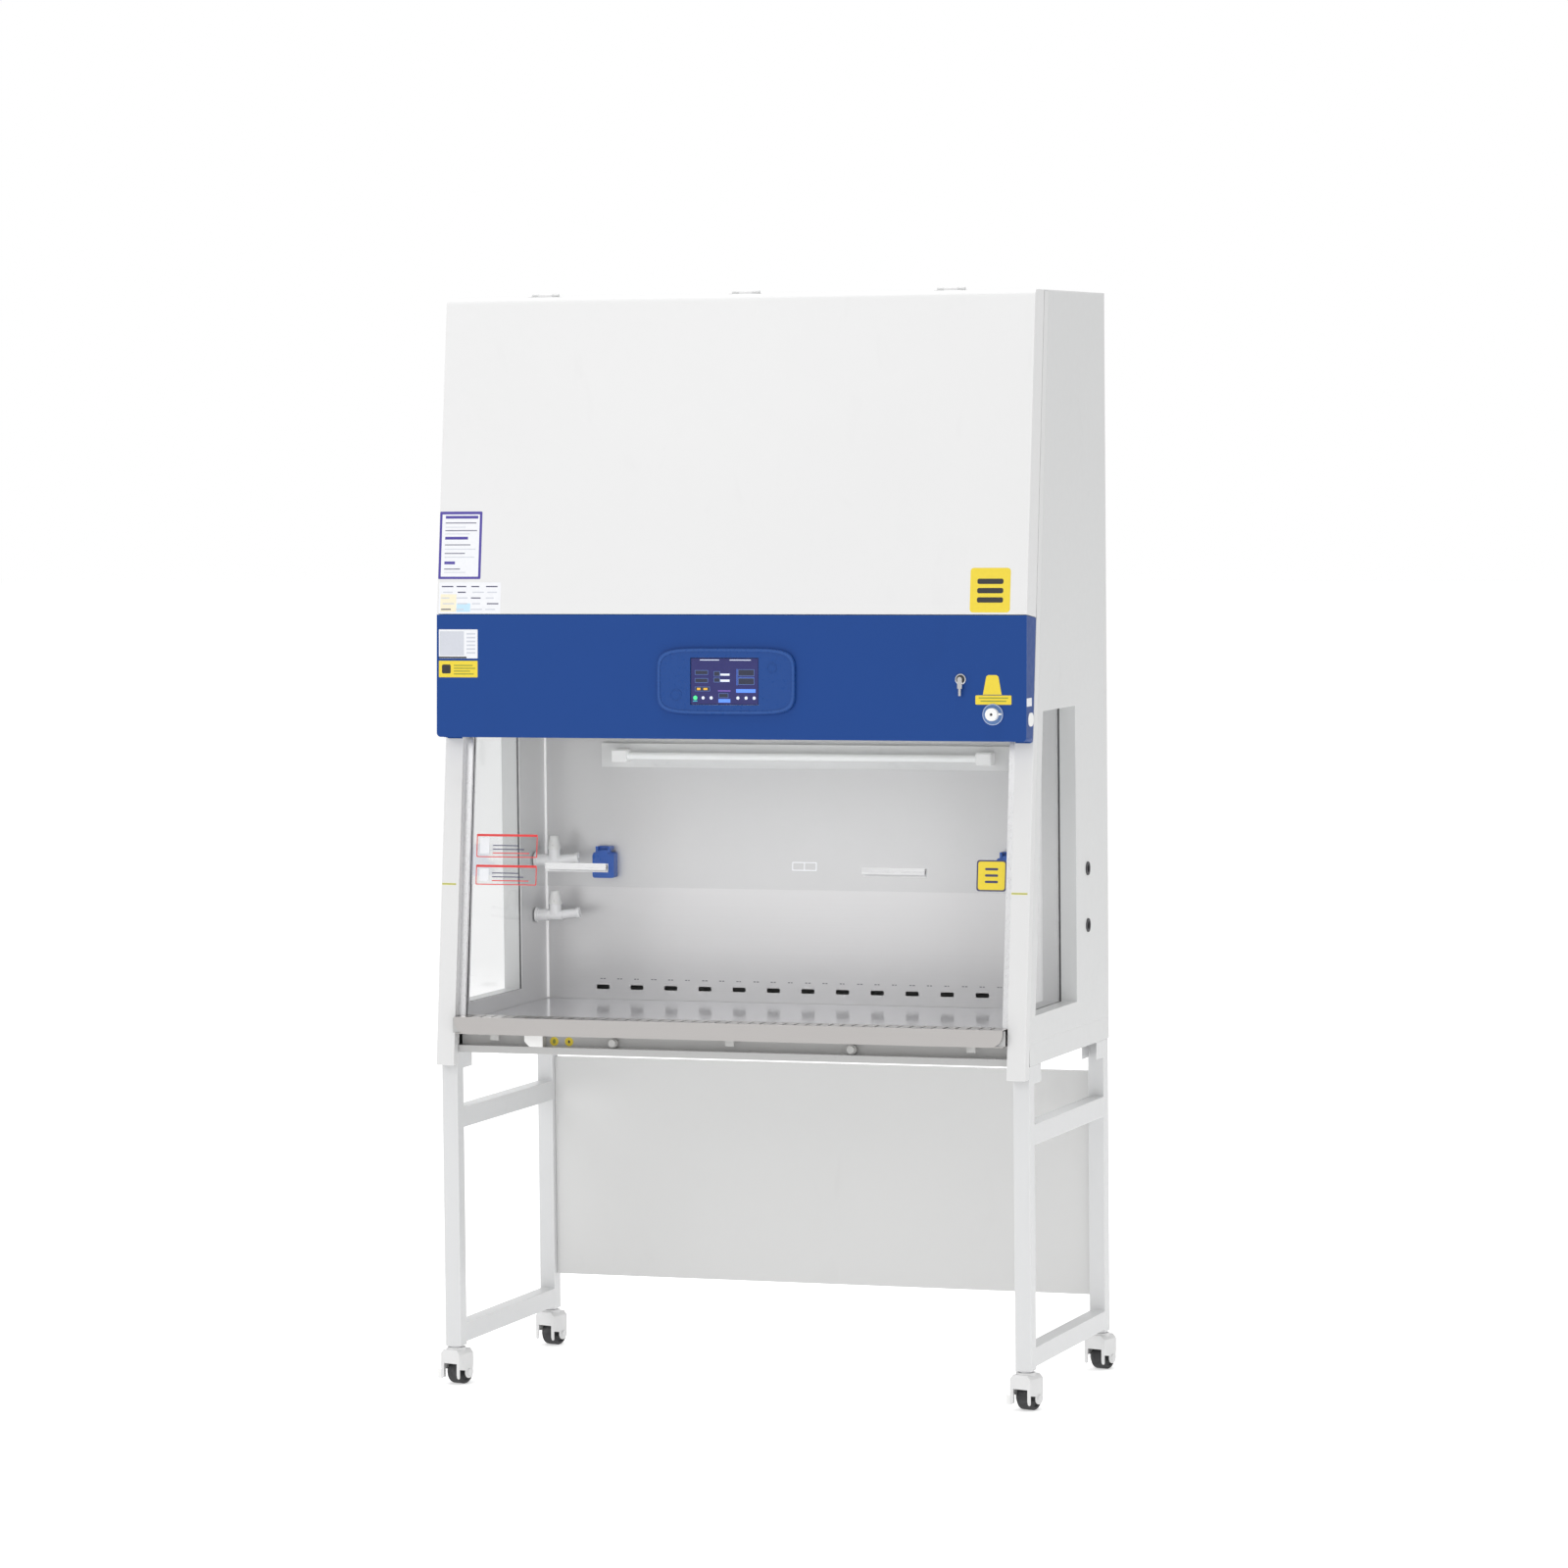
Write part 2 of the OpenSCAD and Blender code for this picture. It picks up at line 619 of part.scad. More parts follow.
display_w = 150;
display_h = 97.6;
display_x = -3;
display_at = [display_x, h_at(1501.5)];
key_lock_at = [509.5, h_at(1508)];
hood_port_at = [578.6, h_at(1436.3)];
module control_hood() color(hood_blue) {
    difference() {
        union() {
            across(-half_w, half_w) sheet([hood_yz(-hood_h, 25), hood_foot, hood_edge,
                yz(hood_top_u, shell_return - hood_d)], -sheet_t);
            pair() {
                across(skin_x, half_w)
                    polygon([hood_foot, hood_edge, yz(hood_top_u, 0), yz(hood_u, 0)]);
                // Mounting angle that screws to the post
                along_slope(hood_u, hood_top_u) {
                    span(skin_x - sheet_t, skin_x, -hood_d / 2, post_n - seat_gap);
                    span(post_x + 2, skin_x, post_n - seat_gap - sheet_t, post_n - seat_gap);
                }
            }
        }
        // Rounded lower corners
        pair() facing(-hood_d - 1, post_n + 1) translate([half_w, hood_u]) difference() {
            translate([-hood_corner_r, -1]) square(hood_corner_r + 1);
            translate([-hood_corner_r, hood_corner_r]) circle(hood_corner_r);
        }
        hood_facing(-1, 3) translate(display_at)
            square([display_w + 2 * seat_gap, display_h + 2 * seat_gap], center = true);
        hood_facing(-1, 3) translate(key_lock_at) circle(8 + seat_gap);
    }
}
bezel_w = 304;
bezel_h = 137.5;
bezel_t = 6;
// Bulged outline of the bezel: a superellipse with near-square corners
function bulged(w, h, p, steps) = [for (i = [0 : steps - 1])
    let (c = cos(360 * i / steps), s = sin(360 * i / steps))
    [w / 2 * sign(c) * pow(abs(c), 2 / p), h / 2 * sign(s) * pow(abs(s), 2 / p)]];
module control_bezel() color(hood_blue) hood_facing(-bezel_t, 0) difference() {
    translate([0, display_at.y]) polygon(bulged(bezel_w, bezel_h, 5.5, 72));
    translate(display_at)
        square([display_w + 2 * seat_gap, display_h + 2 * seat_gap], center = true);
}
key_xs = [-67.3, -50, -32.2, 26.7, 44.8, 62.5];
key_h = h_at(1467);
module display_panel() {
    color(hood_blue) hood_facing(-4, 22) translate(display_at)
        square([display_w, display_h], center = true);
    // Round membrane keys
    color(white) hood_facing(-4.8, -4) for (x = key_xs)
        translate([x, key_h]) circle(x == key_xs[0] ? 4.5 : 3.2);
}
module key_lock() color(bright) {
    hood_facing(-3, 0) translate(key_lock_at) difference() {
        circle(11.5);
        circle(5 + run_fit);
    }
    hood_facing(0, 24) translate(key_lock_at) difference() {
        circle(8);
        circle(5 + run_fit);
    }
}
module key() color(bright) {
    hood_facing(-6, 20) translate(key_lock_at) circle(5);
    hood_facing(-9, -5) translate(key_lock_at) {
        circle(5);
        span(-5, 5, -19, 0);
        span(-2.5, 2.5, -34, -18);
    }
}
module test_ports() {
    color(hood_blue) hood_facing(-1.5, 0) translate(hood_port_at) circle(21);
    color(white) {
        difference() {
            hood_facing(-14, -1.5) translate(hood_port_at) circle(13);
            hood_facing(-15, -12) translate(hood_port_at) circle(3);
        }
        hood_facing(-13, -1.5) translate(hood_port_at + [17.4, 1]) circle(2.2);
        // Oval side port on the hood's right flange
        translate([half_w, -250, 1425]) rotate([90, 0, 90]) linear_extrude(1) {
            square([9, 28], center = true);
            for (s = [-1, 1]) translate([s * 4.5, 0]) circle(14);
        }
    }
}
light_h = 32 - hood_h;
light_m = 16;
light_x = half_w - 90;
module work_light() {
    color(white) on_hood() {
        box(-light_x, light_x, sheet_t + seat_gap, light_m + 13, light_h + 10, light_h + 34);
        pair() box(light_x - 16, light_x, light_m - 12, light_m + 12, light_h - 12, light_h + 10);
    }
    color([1, 1, 0.97]) on_hood() translate([-light_x + 16, light_m, light_h])
        rotate([0, 90, 0]) cylinder(r = 8, h = 2 * (light_x - 16));
}

// ---- Chamber ----
module liner_right() color(steel) {
    liner_n = post_n + post_d + 10 + seat_gap;
    foot = lip_z + sheet_t;
    difference() {
        across(liner_x, liner_x + liner_t) difference() {
            polygon([[slope_y(foot, liner_n), foot], [back_y, foot],
                [back_y, chamber_z], [slope_y(chamber_z, liner_n), chamber_z]]);
            polygon(window(0));
        }
        at_ports() cylinder(r = port_r + 2.5 + seat_gap, h = cabinet_w);
    }
    front = slope_y(foot, liner_n) + 2;
    // Foot fold to the base pan, ledge for the work surface, fold under the filter
    box(liner_x, skin_x - seat_gap, front, back_y, foot, foot + liner_t);
    box(liner_x - 20, liner_x, front + 2, back_y, work_z - fold_d - liner_t, work_z - fold_d);
    box(liner_x - 20, liner_x, supply_y[0] + 4, back_y, chamber_z - liner_t, chamber_z);
}
module liner_left() mirror([1, 0, 0]) liner_right();
module back_wall() color(steel) upright(back_y, back_y + liner_t) difference() {
    span(-liner_x - liner_t, liner_x + liner_t, seam_z, chamber_z);
    for (i = [0 : back_slots - 1])
        translate([(i - (back_slots - 1) / 2) * back_slot_pitch, work_z + back_slot_up])
            rounded(back_slot_w, back_slot_h, 3);
}
module side_glass() color(glass) pair()
    across(liner_x + liner_t, liner_x + liner_t + pane_t) polygon(window(pane_lap));
module rubber_seals() color(black) pair() {
    glass_x = liner_x + liner_t + pane_t;
    across(glass_x, glass_x + seal_t) difference() {
        polygon(window(pane_lap));
        polygon(window(0));
    }
    // Flanged bushes of the service ports
    at_ports() translate([0, 0, liner_x - 2]) difference() {
        union() {
            cylinder(r = port_r + 2.5, h = wall_gap + 4);
            cylinder(r = port_flange_r, h = 2);
            translate([0, 0, wall_gap + 2]) cylinder(r = port_flange_r, h = 2);
        }
        translate([0, 0, -1]) cylinder(r = port_r, h = wall_gap + 6);
    }
}
work_front = lip_y + armrest_d + 4;
module work_surface() color(bright) {
    w = liner_x - 1;
    difference() {
        box(-w, w, work_front, back_y - 2, work_z - fold_d, work_z);
        box(liner_t - w, w - liner_t, work_front + liner_t, back_y - 2 - liner_t,
            work_z - fold_d - 1, work_z - liner_t);
    }
}
module armrest_grille() color(steel) {
    rear = lip_y + armrest_d;
    w = min(liner_x, post_x - 1);
    difference() {
        across(-w, w) sheet([[riser_y, lip_z], [lip_y, lip_z],
            [lip_y, armrest_z], [rear, armrest_z], [rear, work_z - fold_d]], -sheet_t);
        slots = floor((w - 30) / slot_pitch);
        for (i = [-slots : slots]) translate([i * slot_pitch, (lip_y + rear) / 2, 0])
            linear_extrude(top_z) rounded(slot_w, slot_l, slot_w / 2 - 0.01);
        pair() translate([w, lip_y + sheet_t + 1, lip_z]) rotate([90, 0, 0])
            linear_extrude(sheet_t + 2) difference() {
                translate([-lip_r, -1]) square(lip_r + 1);
                translate([-lip_r, lip_r]) circle(lip_r);
            }
    }
}

// ---- Lamp, sockets and taps ----
lamp_z = work_z + 536.4;
lamp_base_w = 930;
lamp_base_d = 14;
lamp_base_h = 52;
lamp_holders = [-414.5, 414.5];
lamp_y = back_y - 29;
module uv_lamp_base() color(white) {
    across(-lamp_base_w / 2, lamp_base_w / 2) difference() {
        span(back_y - lamp_base_d, back_y, lamp_z - lamp_base_h / 2, lamp_z + lamp_base_h / 2);
        span(back_y - lamp_base_d + 2, back_y - 2,
            lamp_z - lamp_base_h / 2 + 2, lamp_z + lamp_base_h / 2 - 2);
    }
    for (x = lamp_holders) difference() {
        union() {
            box(x - 17, x + 17, lamp_y, back_y - lamp_base_d, lamp_z - 13, lamp_z + 13);
            translate([x - 17, lamp_y, lamp_z]) rotate([0, 90, 0]) cylinder(r = 13, h = 34);
        }
        translate([x - sign(x) * 5, lamp_y, lamp_z]) rotate([0, -sign(x) * 90, 0])
            cylinder(r = 8 + seat_gap, h = 60);
    }
}
module uv_lamp_tube() color(white) {
    x0 = lamp_holders[0] + 5 + seat_gap;
    x1 = lamp_holders[1] - 5 - seat_gap;
    translate([x0, lamp_y, lamp_z]) rotate([0, 90, 0]) cylinder(r = 8, h = x1 - x0);
}
socket_x = 461;
socket_w = 50;
socket_z = work_z + 268;
socket_h = 56;
lid_z = socket_z + socket_h + 3;
lid_y = back_y - 20;
module sockets() color(hood_blue) pair() translate([socket_x, 0, 0]) {
    difference() {
        upright(lid_y + 0.5, back_y) translate([0, socket_z + socket_h / 2])
            rounded(socket_w, socket_h, 5);
        translate([0, lid_y + 12, socket_z + socket_h / 2]) rotate([90, 0, 0])
            cylinder(r = 19, h = 20);
    }
    // Pin of the lid
    difference() {
        box(-17, 17, lid_y - 4, back_y, lid_z + 2, socket_z + socket_h + 13);
        translate([-12, lid_y - 6, lid_z]) cube([24, 14, 20]);
    }
    for (s = [-1, 1]) box(min(s * 12, s * 17), max(s * 12, s * 17), lid_y - 4, lid_y + 8,
        lid_z - 3, lid_z + 3);
    translate([-17, lid_y, lid_z]) rotate([0, 90, 0]) cylinder(r = 1.5, h = 34);
}
module socket_lid() color(hood_blue) {
    difference() {
        union() {
            upright(lid_y - 3, lid_y) translate([0, socket_z + socket_h / 2 - 1.5])
                rounded(socket_w, socket_h - 3, 5);
            translate([-11.5, lid_y, lid_z]) rotate([0, 90, 0]) cylinder(r = 3, h = 23);
            box(-11.5, 11.5, lid_y - 3, lid_y, socket_z + socket_h - 8, lid_z);
        }
        translate([-20, lid_y, lid_z]) rotate([0, 90, 0]) cylinder(r = 1.5 + run_fit, h = 40);
    }
    // Raised arc of the lid
    upright(lid_y - 3.8, lid_y - 3) translate([0, socket_z + 20]) difference() {
        circle(17);
        circle(15.5);
        translate([-20, -40]) square([40, 38]);
    }
}
module socket_lid_left() translate([-socket_x, 0, 0]) socket_lid();
module socket_lid_right() translate([socket_x, 0, 0]) socket_lid();

// Two gas taps stand in the service ports of the left wall
stem_x = 44;
bonnet_h = 24;
nozzle_l = 42;
module at_tap(i) translate([-liner_x + 2 + seat_gap, port_y, work_z + port_up[i]]) children();
module nozzle_axis() translate([56, 0, 1]) rotate([0, 84, 8]) children();
module tap_bodies() color(bright) for (i = [0, 1]) at_tap(i) difference() {
    union() {
        rotate([0, 90, 0]) {
            translate([0, 0, -wall_gap - 2]) cylinder(r = port_r - seat_gap, h = wall_gap + 4);
            cylinder(r = 17, h = 5);
            cylinder(r = 13, h = 28);
            cylinder(r = 11, h = 62);
        }
        translate([stem_x, 0, 0]) cylinder(r = 13, h = bonnet_h);
        // Hose nozzle with a ring at its mouth
        nozzle_axis() {
            cylinder(r = 10, h = nozzle_l);
            translate([0, 0, nozzle_l - 6]) cylinder(r = 12, h = 7);
        }
    }
    nozzle_axis() translate([0, 0, nozzle_l - 22]) cylinder(r = 6, h = 30);
    translate([stem_x, 0, 4]) cylinder(r = 4 + run_fit, h = 30);
}
module tap_handle(i) color(white) at_tap(i) translate([stem_x, 0, 0]) {
    translate([0, 0, 5]) cylinder(r = 4, h = bonnet_h);
    translate([0, 0, bonnet_h + seat_gap]) cylinder(r1 = 15, r2 = 10, h = 24);
    translate([0, 0, bonnet_h + 24]) cylinder(r1 = 11, r2 = 9, h = 5);
    translate([0, -17, bonnet_h + 7]) rotate([-90, 0, 0]) cylinder(r = 2.5, h = 8);
}

// ---- Sash and its counterweight ----
sash_u = u_at(armrest_z + opening_h, sash_n);
sash_top = sash_u + sash_h;
guide_x = post_x - 16;
guide_top_u = 1560;
guide_n = [sash_n - 11, sash_n + 11];
pulley_u = 1507;
pulley_n = sash_n + pulley_r;
weight_n = pulley_n + pulley_r;
rod_x = liner_x - 45;
rod_u = [weight_u - 215, weight_u + 345];
pulley_x = liner_x - 65;
module sash_guides() color(bright) pair() {
    foot = armrest_z + seat_gap;
    difference() {
        along_slope(0, guide_top_u) difference() {
            span(guide_x, post_x, guide_n[0], guide_n[1]);
            span(guide_x - 1, post_x - 4, sash_n - sash_t / 2 - 0.5, sash_n + sash_t / 2 + 0.5);
        }
        box(0, cabinet_w, -side_d, side_d, base_z - 20, foot);
    }
    // Bearing arm of the pulley shaft
    difference() {
        along_slope(pulley_u - 14, pulley_u + 14)
            span(guide_x - 9, guide_x + 6, guide_n[1], pulley_n + 13);
        on_slope() translate([0, pulley_n, pulley_u]) rotate([0, 90, 0])
            cylinder(r = shaft_r + run_fit, h = cabinet_w);
    }
}
module counterweight_rods() color(bright) pair() {
    along_slope(rod_u[0] - 11, rod_u[1] + 11) translate([rod_x, weight_n]) circle(rod_r);
    for (u = [rod_u[0] - 12, rod_u[1]]) along_slope(u, u + 12)
        span(rod_x - 12, post_x, guide_n[1], weight_n + 9);
}
module sash_glass() color(glass) along_slope(sash_u, sash_top)
    span(-post_x + 7, post_x - 7, sash_n - sash_t / 2, sash_n + sash_t / 2);
module sash_handles() color(bright) for (s = [-1, 1]) {
    n = sash_n - sash_t / 2;
    on_slope() translate([s * handle_x - handle_l / 2, 0, sash_u + handle_up])
        rotate([90, 0, 90]) linear_extrude(handle_l) {
            span(n - 2.5, n, -9, 9);
            span(n - 14, n, 6, 9);
            span(n - 14, n - 11.5, -5, 9);
        }
}
module sash_clamp() color(bright) {
    w = guide_x - 4;
    difference() {
        along_slope(sash_top - 14, sash_top + 16) span(-w, w, sash_n - 8, sash_n + 8);
        along_slope(sash_top - 15, sash_top)
            span(-w - 1, w + 1, sash_n - sash_t / 2, sash_n + sash_t / 2);
    }
    pair() along_slope(sash_top + 16, sash_top + 30) translate([pulley_x, sash_n]) circle(4);
}
module counterweight() color(steel) {
    difference() {
        along_slope(weight_u, weight_u + weight_h)
            span(-rod_x - 15, rod_x + 15, weight_n - weight_d / 2, weight_n + weight_d / 2);
        pair() along_slope(weight_u - 1, weight_u + weight_h + 1)
            translate([rod_x, weight_n]) circle(rod_r + run_fit);
    }
    pair() along_slope(weight_u + weight_h, weight_u + weight_h + 14)
        translate([pulley_x, weight_n]) circle(4);
}
module pulley_shaft() color(bright) on_slope() translate([0, pulley_n, pulley_u])
    rotate([0, 90, 0]) {
        shaft_l = 2 * (guide_x + 5);
        translate([0, 0, -shaft_l / 2]) cylinder(r = shaft_r, h = shaft_l);
        for (s = [-1, 1]) translate([0, 0, s * pulley_x]) rotate_extrude()
            polygon([[shaft_r - 1, -9], [14, -9], [14, -6], [pulley_r + 3, -6],
                [pulley_r, -2], [pulley_r, 2], [pulley_r + 3, 6], [14, 6], [14, 9],
                [shaft_r - 1, 9]]);
    }

// ---- Filters, plenum and fan ----
supply_z = [chamber_z, chamber_z + supply_h];
supply_y = [slope_y(chamber_z, 62), back_y];
box_x = liner_x - 5;
// Zigzag of the filter medium across a width, between two heights
function pleats(w, z0, z1, t) =
    let (n = floor(w / pleat_pitch), p = w / n)
    concat([for (i = [0 : 2 * n]) [-w / 2 + i * p / 2, i % 2 == 0 ? z0 : z1 - t]],
        [for (i = [2 * n : -1 : 0]) [-w / 2 + i * p / 2, i % 2 == 0 ? z0 + t : z1]]);
module filter(w, y, z0, z1) {
    rim = 18;
    color(bright) difference() {
        box(-w, w, y[0], y[1], z0, z1);
        box(rim - w, w - rim, y[0] + rim, y[1] - rim, z0 - 1, z1 + 1);
    }
    color(white) upright(y[0] + rim, y[1] - rim)
        polygon(pleats(2 * (w - rim), z0 + 6, z1 - 6, 3));
}
module supply_filter() filter(box_x, supply_y, supply_z[0], supply_z[1]);
module exhaust_filter() filter(exhaust_x, exhaust_y, deck_z + sheet_t, exhaust_top);

plenum_n = weight_n + 33;
plenum_line = [[supply_y[0], supply_z[1]], [supply_y[0], supply_z[1] + 16],
    [slope_y(supply_z[1] + 26, plenum_n), supply_z[1] + 26],
    [slope_y(deck_z + sheet_t, plenum_n), deck_z + sheet_t],
    [back_y, deck_z + sheet_t], [back_y, supply_z[1]]];
inlet_r = fan_r - 25;
fan_z = supply_z[1] + 260;
fan_y = [back_y - sheet_t - scroll_w, back_y - sheet_t];
module at_fan(y) translate([0, y, fan_z]) rotate([90, 0, 0]) children();
module plenum_box() color(panel_grey) {
    difference() {
        across(-box_x, box_x) polygon(plenum_line);
        across(sheet_t - box_x, box_x - sheet_t) polygon(closed_inner(plenum_line, -sheet_t));
        // Open to the supply filter, the exhaust filter and the return duct
        box(20 - box_x, box_x - 20, supply_y[0] + 20, back_y - 20,
            supply_z[1] - 1, supply_z[1] + sheet_t + 1);
        box(20 - exhaust_x, exhaust_x - 20, exhaust_y[0] + 20, exhaust_y[1] - 20,
            deck_z - 1, deck_z + sheet_t + 1);
        at_fan(back_y + 1) cylinder(r = inlet_r, h = sheet_t + 2);
    }
    // Flanges that carry the box between the side panels
    pair() box(box_x, skin_x - seat_gap, supply_y[0] + 6, back_y,
        supply_z[1], supply_z[1] + sheet_t);
}
// Fan housing: the wall recedes evenly from the wheel over three quarters of a turn
cut_r = fan_r + 10;
mouth_x = 200;
tongue_z = -70;
tongue_a = asin(tongue_z / cut_r);
function scroll(grow) = concat(
    [for (i = [0 : 4]) let (a = tongue_a * (1 - i / 4))
        (cut_r + grow) * [cos(a), sin(a)]],
    [for (i = [1 : 45]) let (a = 6 * i)
        (cut_r + grow + scroll_growth * a / 270) * [cos(a), sin(a)]],
    [[mouth_x, -cut_r - grow - scroll_growth], [mouth_x, tongue_z + grow]]);
module blower_housing() color(bright) {
    wall = 1.5;
    at_fan(fan_y[1]) {
        linear_extrude(scroll_w) difference() {
            polygon(scroll(wall));
            polygon(concat(scroll(0), [[mouth_x + 1, tongue_z]]));
            translate([mouth_x - 1, -cut_r - scroll_growth]) square([3, cut_r + scroll_growth + tongue_z]);
        }
        linear_extrude(wall) difference() {
            polygon(scroll(wall));
            circle(inlet_r);
        }
        translate([0, 0, scroll_w - wall]) linear_extrude(wall) difference() {
            polygon(scroll(wall));
            circle(30 + seat_gap);
        }
    }
}
hub_l = 40;
motor_r = 55;
module fan_motor() color(panel_grey) difference() {
    union() {
        at_fan(fan_y[0]) {
            cylinder(r = motor_r, h = 76);
            translate([0, 0, -12]) cylinder(r = 30, h = 14);
        }
        for (a = [0 : 60 : 300]) at_fan(fan_y[0]) rotate([0, 0, a])
            translate([motor_r - 1, -1.5, 14]) cube([6, 3, 50]);
    }
    at_fan(fan_y[0] + 13) cylinder(r = 8 + run_fit, h = 66);
}
wheel_y = fan_y[0] + 15;
function blade(i) =
    let (r0 = fan_r - 26, steps = 5)
    concat(
        [for (k = [0 : steps]) let (r = r0 + (fan_r - r0) * k / steps,
            a = 360 * i / blades + 11 * pow(k / steps, 2)) r * [cos(a), sin(a)]],
        [for (k = [steps : -1 : 0]) let (r = r0 + (fan_r - r0) * k / steps,
            a = 360 * i / blades + 11 * pow(k / steps, 2) + 0.9) r * [cos(a), sin(a)]]);
module impeller() color(bright) {
    at_fan(wheel_y + fan_w) {
        for (i = [0 : blades - 1]) linear_extrude(fan_w) polygon(blade(i));
        linear_extrude(2) difference() {
            circle(fan_r + 1);
            circle(fan_r - 27);
        }
        translate([0, 0, fan_w - 2]) linear_extrude(2) circle(fan_r + 1);
        translate([0, 0, fan_w - hub_l]) cylinder(r = 22, h = hub_l);
    }
    // Motor shaft pressed into the hub
    at_fan(wheel_y + 4) cylinder(r = 8, h = 70);
}

stand_frame_left();
stand_frame_right();
stand_back_panel();
base_pan();
base_front_fittings();
post_left();
post_right();
side_panel_left();
side_panel_right();
rear_panel();
roof_panel();
control_hood();
control_bezel();
display_panel();
key_lock();
test_ports();
sash_guides();
counterweight_rods();
supply_filter();
exhaust_filter();
plenum_box();
blower_housing();
fan_motor();
back_wall();
liner_left();
liner_right();
side_glass();
rubber_seals();
work_surface();
armrest_grille();
uv_lamp_base();
uv_lamp_tube();
work_light();
sockets();
tap_bodies();
mains_inlet();
caster_stems();
exhaust_guard();
front_cover();
sash_glass();
sash_handles();
sash_clamp();
counterweight();
pulley_shaft();
impeller();
key();
socket_lid_left();
socket_lid_right();
tap_handle(1);  // tap_handle_upper
tap_handle(0);  // tap_handle_lower
caster_fork(-1, leg_ys[0]);  // fork_front_left
caster_fork(1, leg_ys[0]);  // fork_front_right
caster_fork(-1, leg_ys[1]);  // fork_rear_left
caster_fork(1, leg_ys[1]);  // fork_rear_right
caster_wheel(-1, leg_ys[0]);  // wheel_front_left
caster_wheel(1, leg_ys[0]);  // wheel_front_right
caster_wheel(-1, leg_ys[1]);  // wheel_rear_left
caster_wheel(1, leg_ys[1]);  // wheel_rear_right
brake_lever(-1);  // brake_left
brake_lever(1);  // brake_right
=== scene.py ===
"""Looks of the biosafety cabinet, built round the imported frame.

Places and sizes of pieces are in millimetres, and MM turns them into metres. The camera, the stage,
the lamps and the textures are in metres.
"""

import math

import bmesh
import bpy
from mathutils import Matrix, Vector


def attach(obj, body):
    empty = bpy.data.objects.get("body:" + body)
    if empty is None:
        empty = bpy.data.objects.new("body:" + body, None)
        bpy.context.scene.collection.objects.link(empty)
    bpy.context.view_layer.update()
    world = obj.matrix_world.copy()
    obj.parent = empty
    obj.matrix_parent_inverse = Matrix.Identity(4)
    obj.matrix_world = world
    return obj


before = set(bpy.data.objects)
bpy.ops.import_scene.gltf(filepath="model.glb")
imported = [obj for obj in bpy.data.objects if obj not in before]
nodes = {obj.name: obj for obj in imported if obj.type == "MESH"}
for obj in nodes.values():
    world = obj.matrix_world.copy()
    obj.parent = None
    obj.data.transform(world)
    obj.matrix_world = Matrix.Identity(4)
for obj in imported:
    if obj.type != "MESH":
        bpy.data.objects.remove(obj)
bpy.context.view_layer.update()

# ---------------------------------------------------------------- places on the CAD model
MM = 0.001
# The front leans back from a seam: N is the distance in front of it, square to the lean
LEAN = math.radians(6.5)
SIN, COS = math.sin(LEAN), math.cos(LEAN)
SEAM_Y, BASE_Z = -312.0, 713.0
POST_N, SASH_N = 5.0, 29.0
# The hood and the cover are steeper: a point of each in the side view, and its lean
HOOD_EDGE, HOOD_LEAN = (-273.39, 1639.34), math.radians(2.0)
COVER_FOOT, COVER_LEAN = (-273.71, 1640.89), math.radians(6.843)
HALF_WIDTH = 650
SCREEN_X, SCREEN_Z, KEYS_Z = -3, 1501.5, 1467
BEZEL_SIZE, BEZEL_POWER = (304.0, 137.5), 5.5
TEST_PORT, LOCK = (578.6, 1436.3), (509.5, 1508)
RISER_Y, LEDGE_Y, BACK_WALL_Y = -262, -284, 226
RECESS_X = 608
LIP_ENDS_X = ((-609.6, -576), (576, 609.6))
LAMP_HOLDER_X, CORNER_HIGHLIGHT_X = 414.5, 602.5
CASTER_X = 632.5
CASTER_YS = {"front": -260.986, "rear": 292.5}
CASTER_TURN = math.radians(-16.5)
CORNERS = ("front_left", "front_right", "rear_left", "rear_right")

# ---------------------------------------------------------------- camera
CAMERA_AT = (4.11885, -11.8536, 2.03634)
FOCAL_PX, IMAGE_PX, SENSOR = 6038.87, 1600.0, 36.0
YAW, PITCH, ROLL = (math.radians(v) for v in (19.0403, 3.4920, -0.5677))
NEAR, FAR = 0.1, 200


def make_camera():
    flat = math.cos(PITCH)
    forward = Vector((-math.sin(YAW) * flat, math.cos(YAW) * flat, -math.sin(PITCH)))
    level = Vector((math.cos(YAW), math.sin(YAW), 0))
    upright = level.cross(forward)
    right = level * math.cos(ROLL) + upright * math.sin(ROLL)
    up = upright * math.cos(ROLL) - level * math.sin(ROLL)
    data = bpy.data.cameras.new("camera")
    data.sensor_width = SENSOR
    data.lens = FOCAL_PX / IMAGE_PX * SENSOR
    data.clip_start, data.clip_end = NEAR, FAR
    camera = bpy.data.objects.new("camera", data)
    turn = Matrix((right, up, -forward)).transposed().to_4x4()
    camera.matrix_world = Matrix.Translation(CAMERA_AT) @ turn
    bpy.context.scene.collection.objects.link(camera)
    bpy.context.scene.camera = camera


make_camera()

# ---------------------------------------------------------------- materials
# Radius of the painted highlight along sharp edges
EDGE_HIGHLIGHT_RADIUS = 0.0012
# Product of the rounded and the true normal, where the painted edge highlight starts and where it
# is full
EDGE_TURN = (0.99, 0.85)
# Range that a noise seldom leaves
USUAL = (0.3, 0.7)
# Along and across the grain of brushed metal
GRAIN_ALONG, GRAIN_ACROSS = 4.0, 900.0
GLASS_IOR, GLASS_GLINT = 1.45, (0.3, 0.3, 0.3, 1)


def new_material(name):
    mat = bpy.data.materials.new(name)
    mat.use_nodes = True
    tree = mat.node_tree
    tree.nodes.clear()
    out = tree.nodes.new("ShaderNodeOutputMaterial")
    shader = tree.nodes.new("ShaderNodeBsdfPrincipled")
    tree.links.new(shader.outputs[0], out.inputs["Surface"])
    return mat, tree, shader


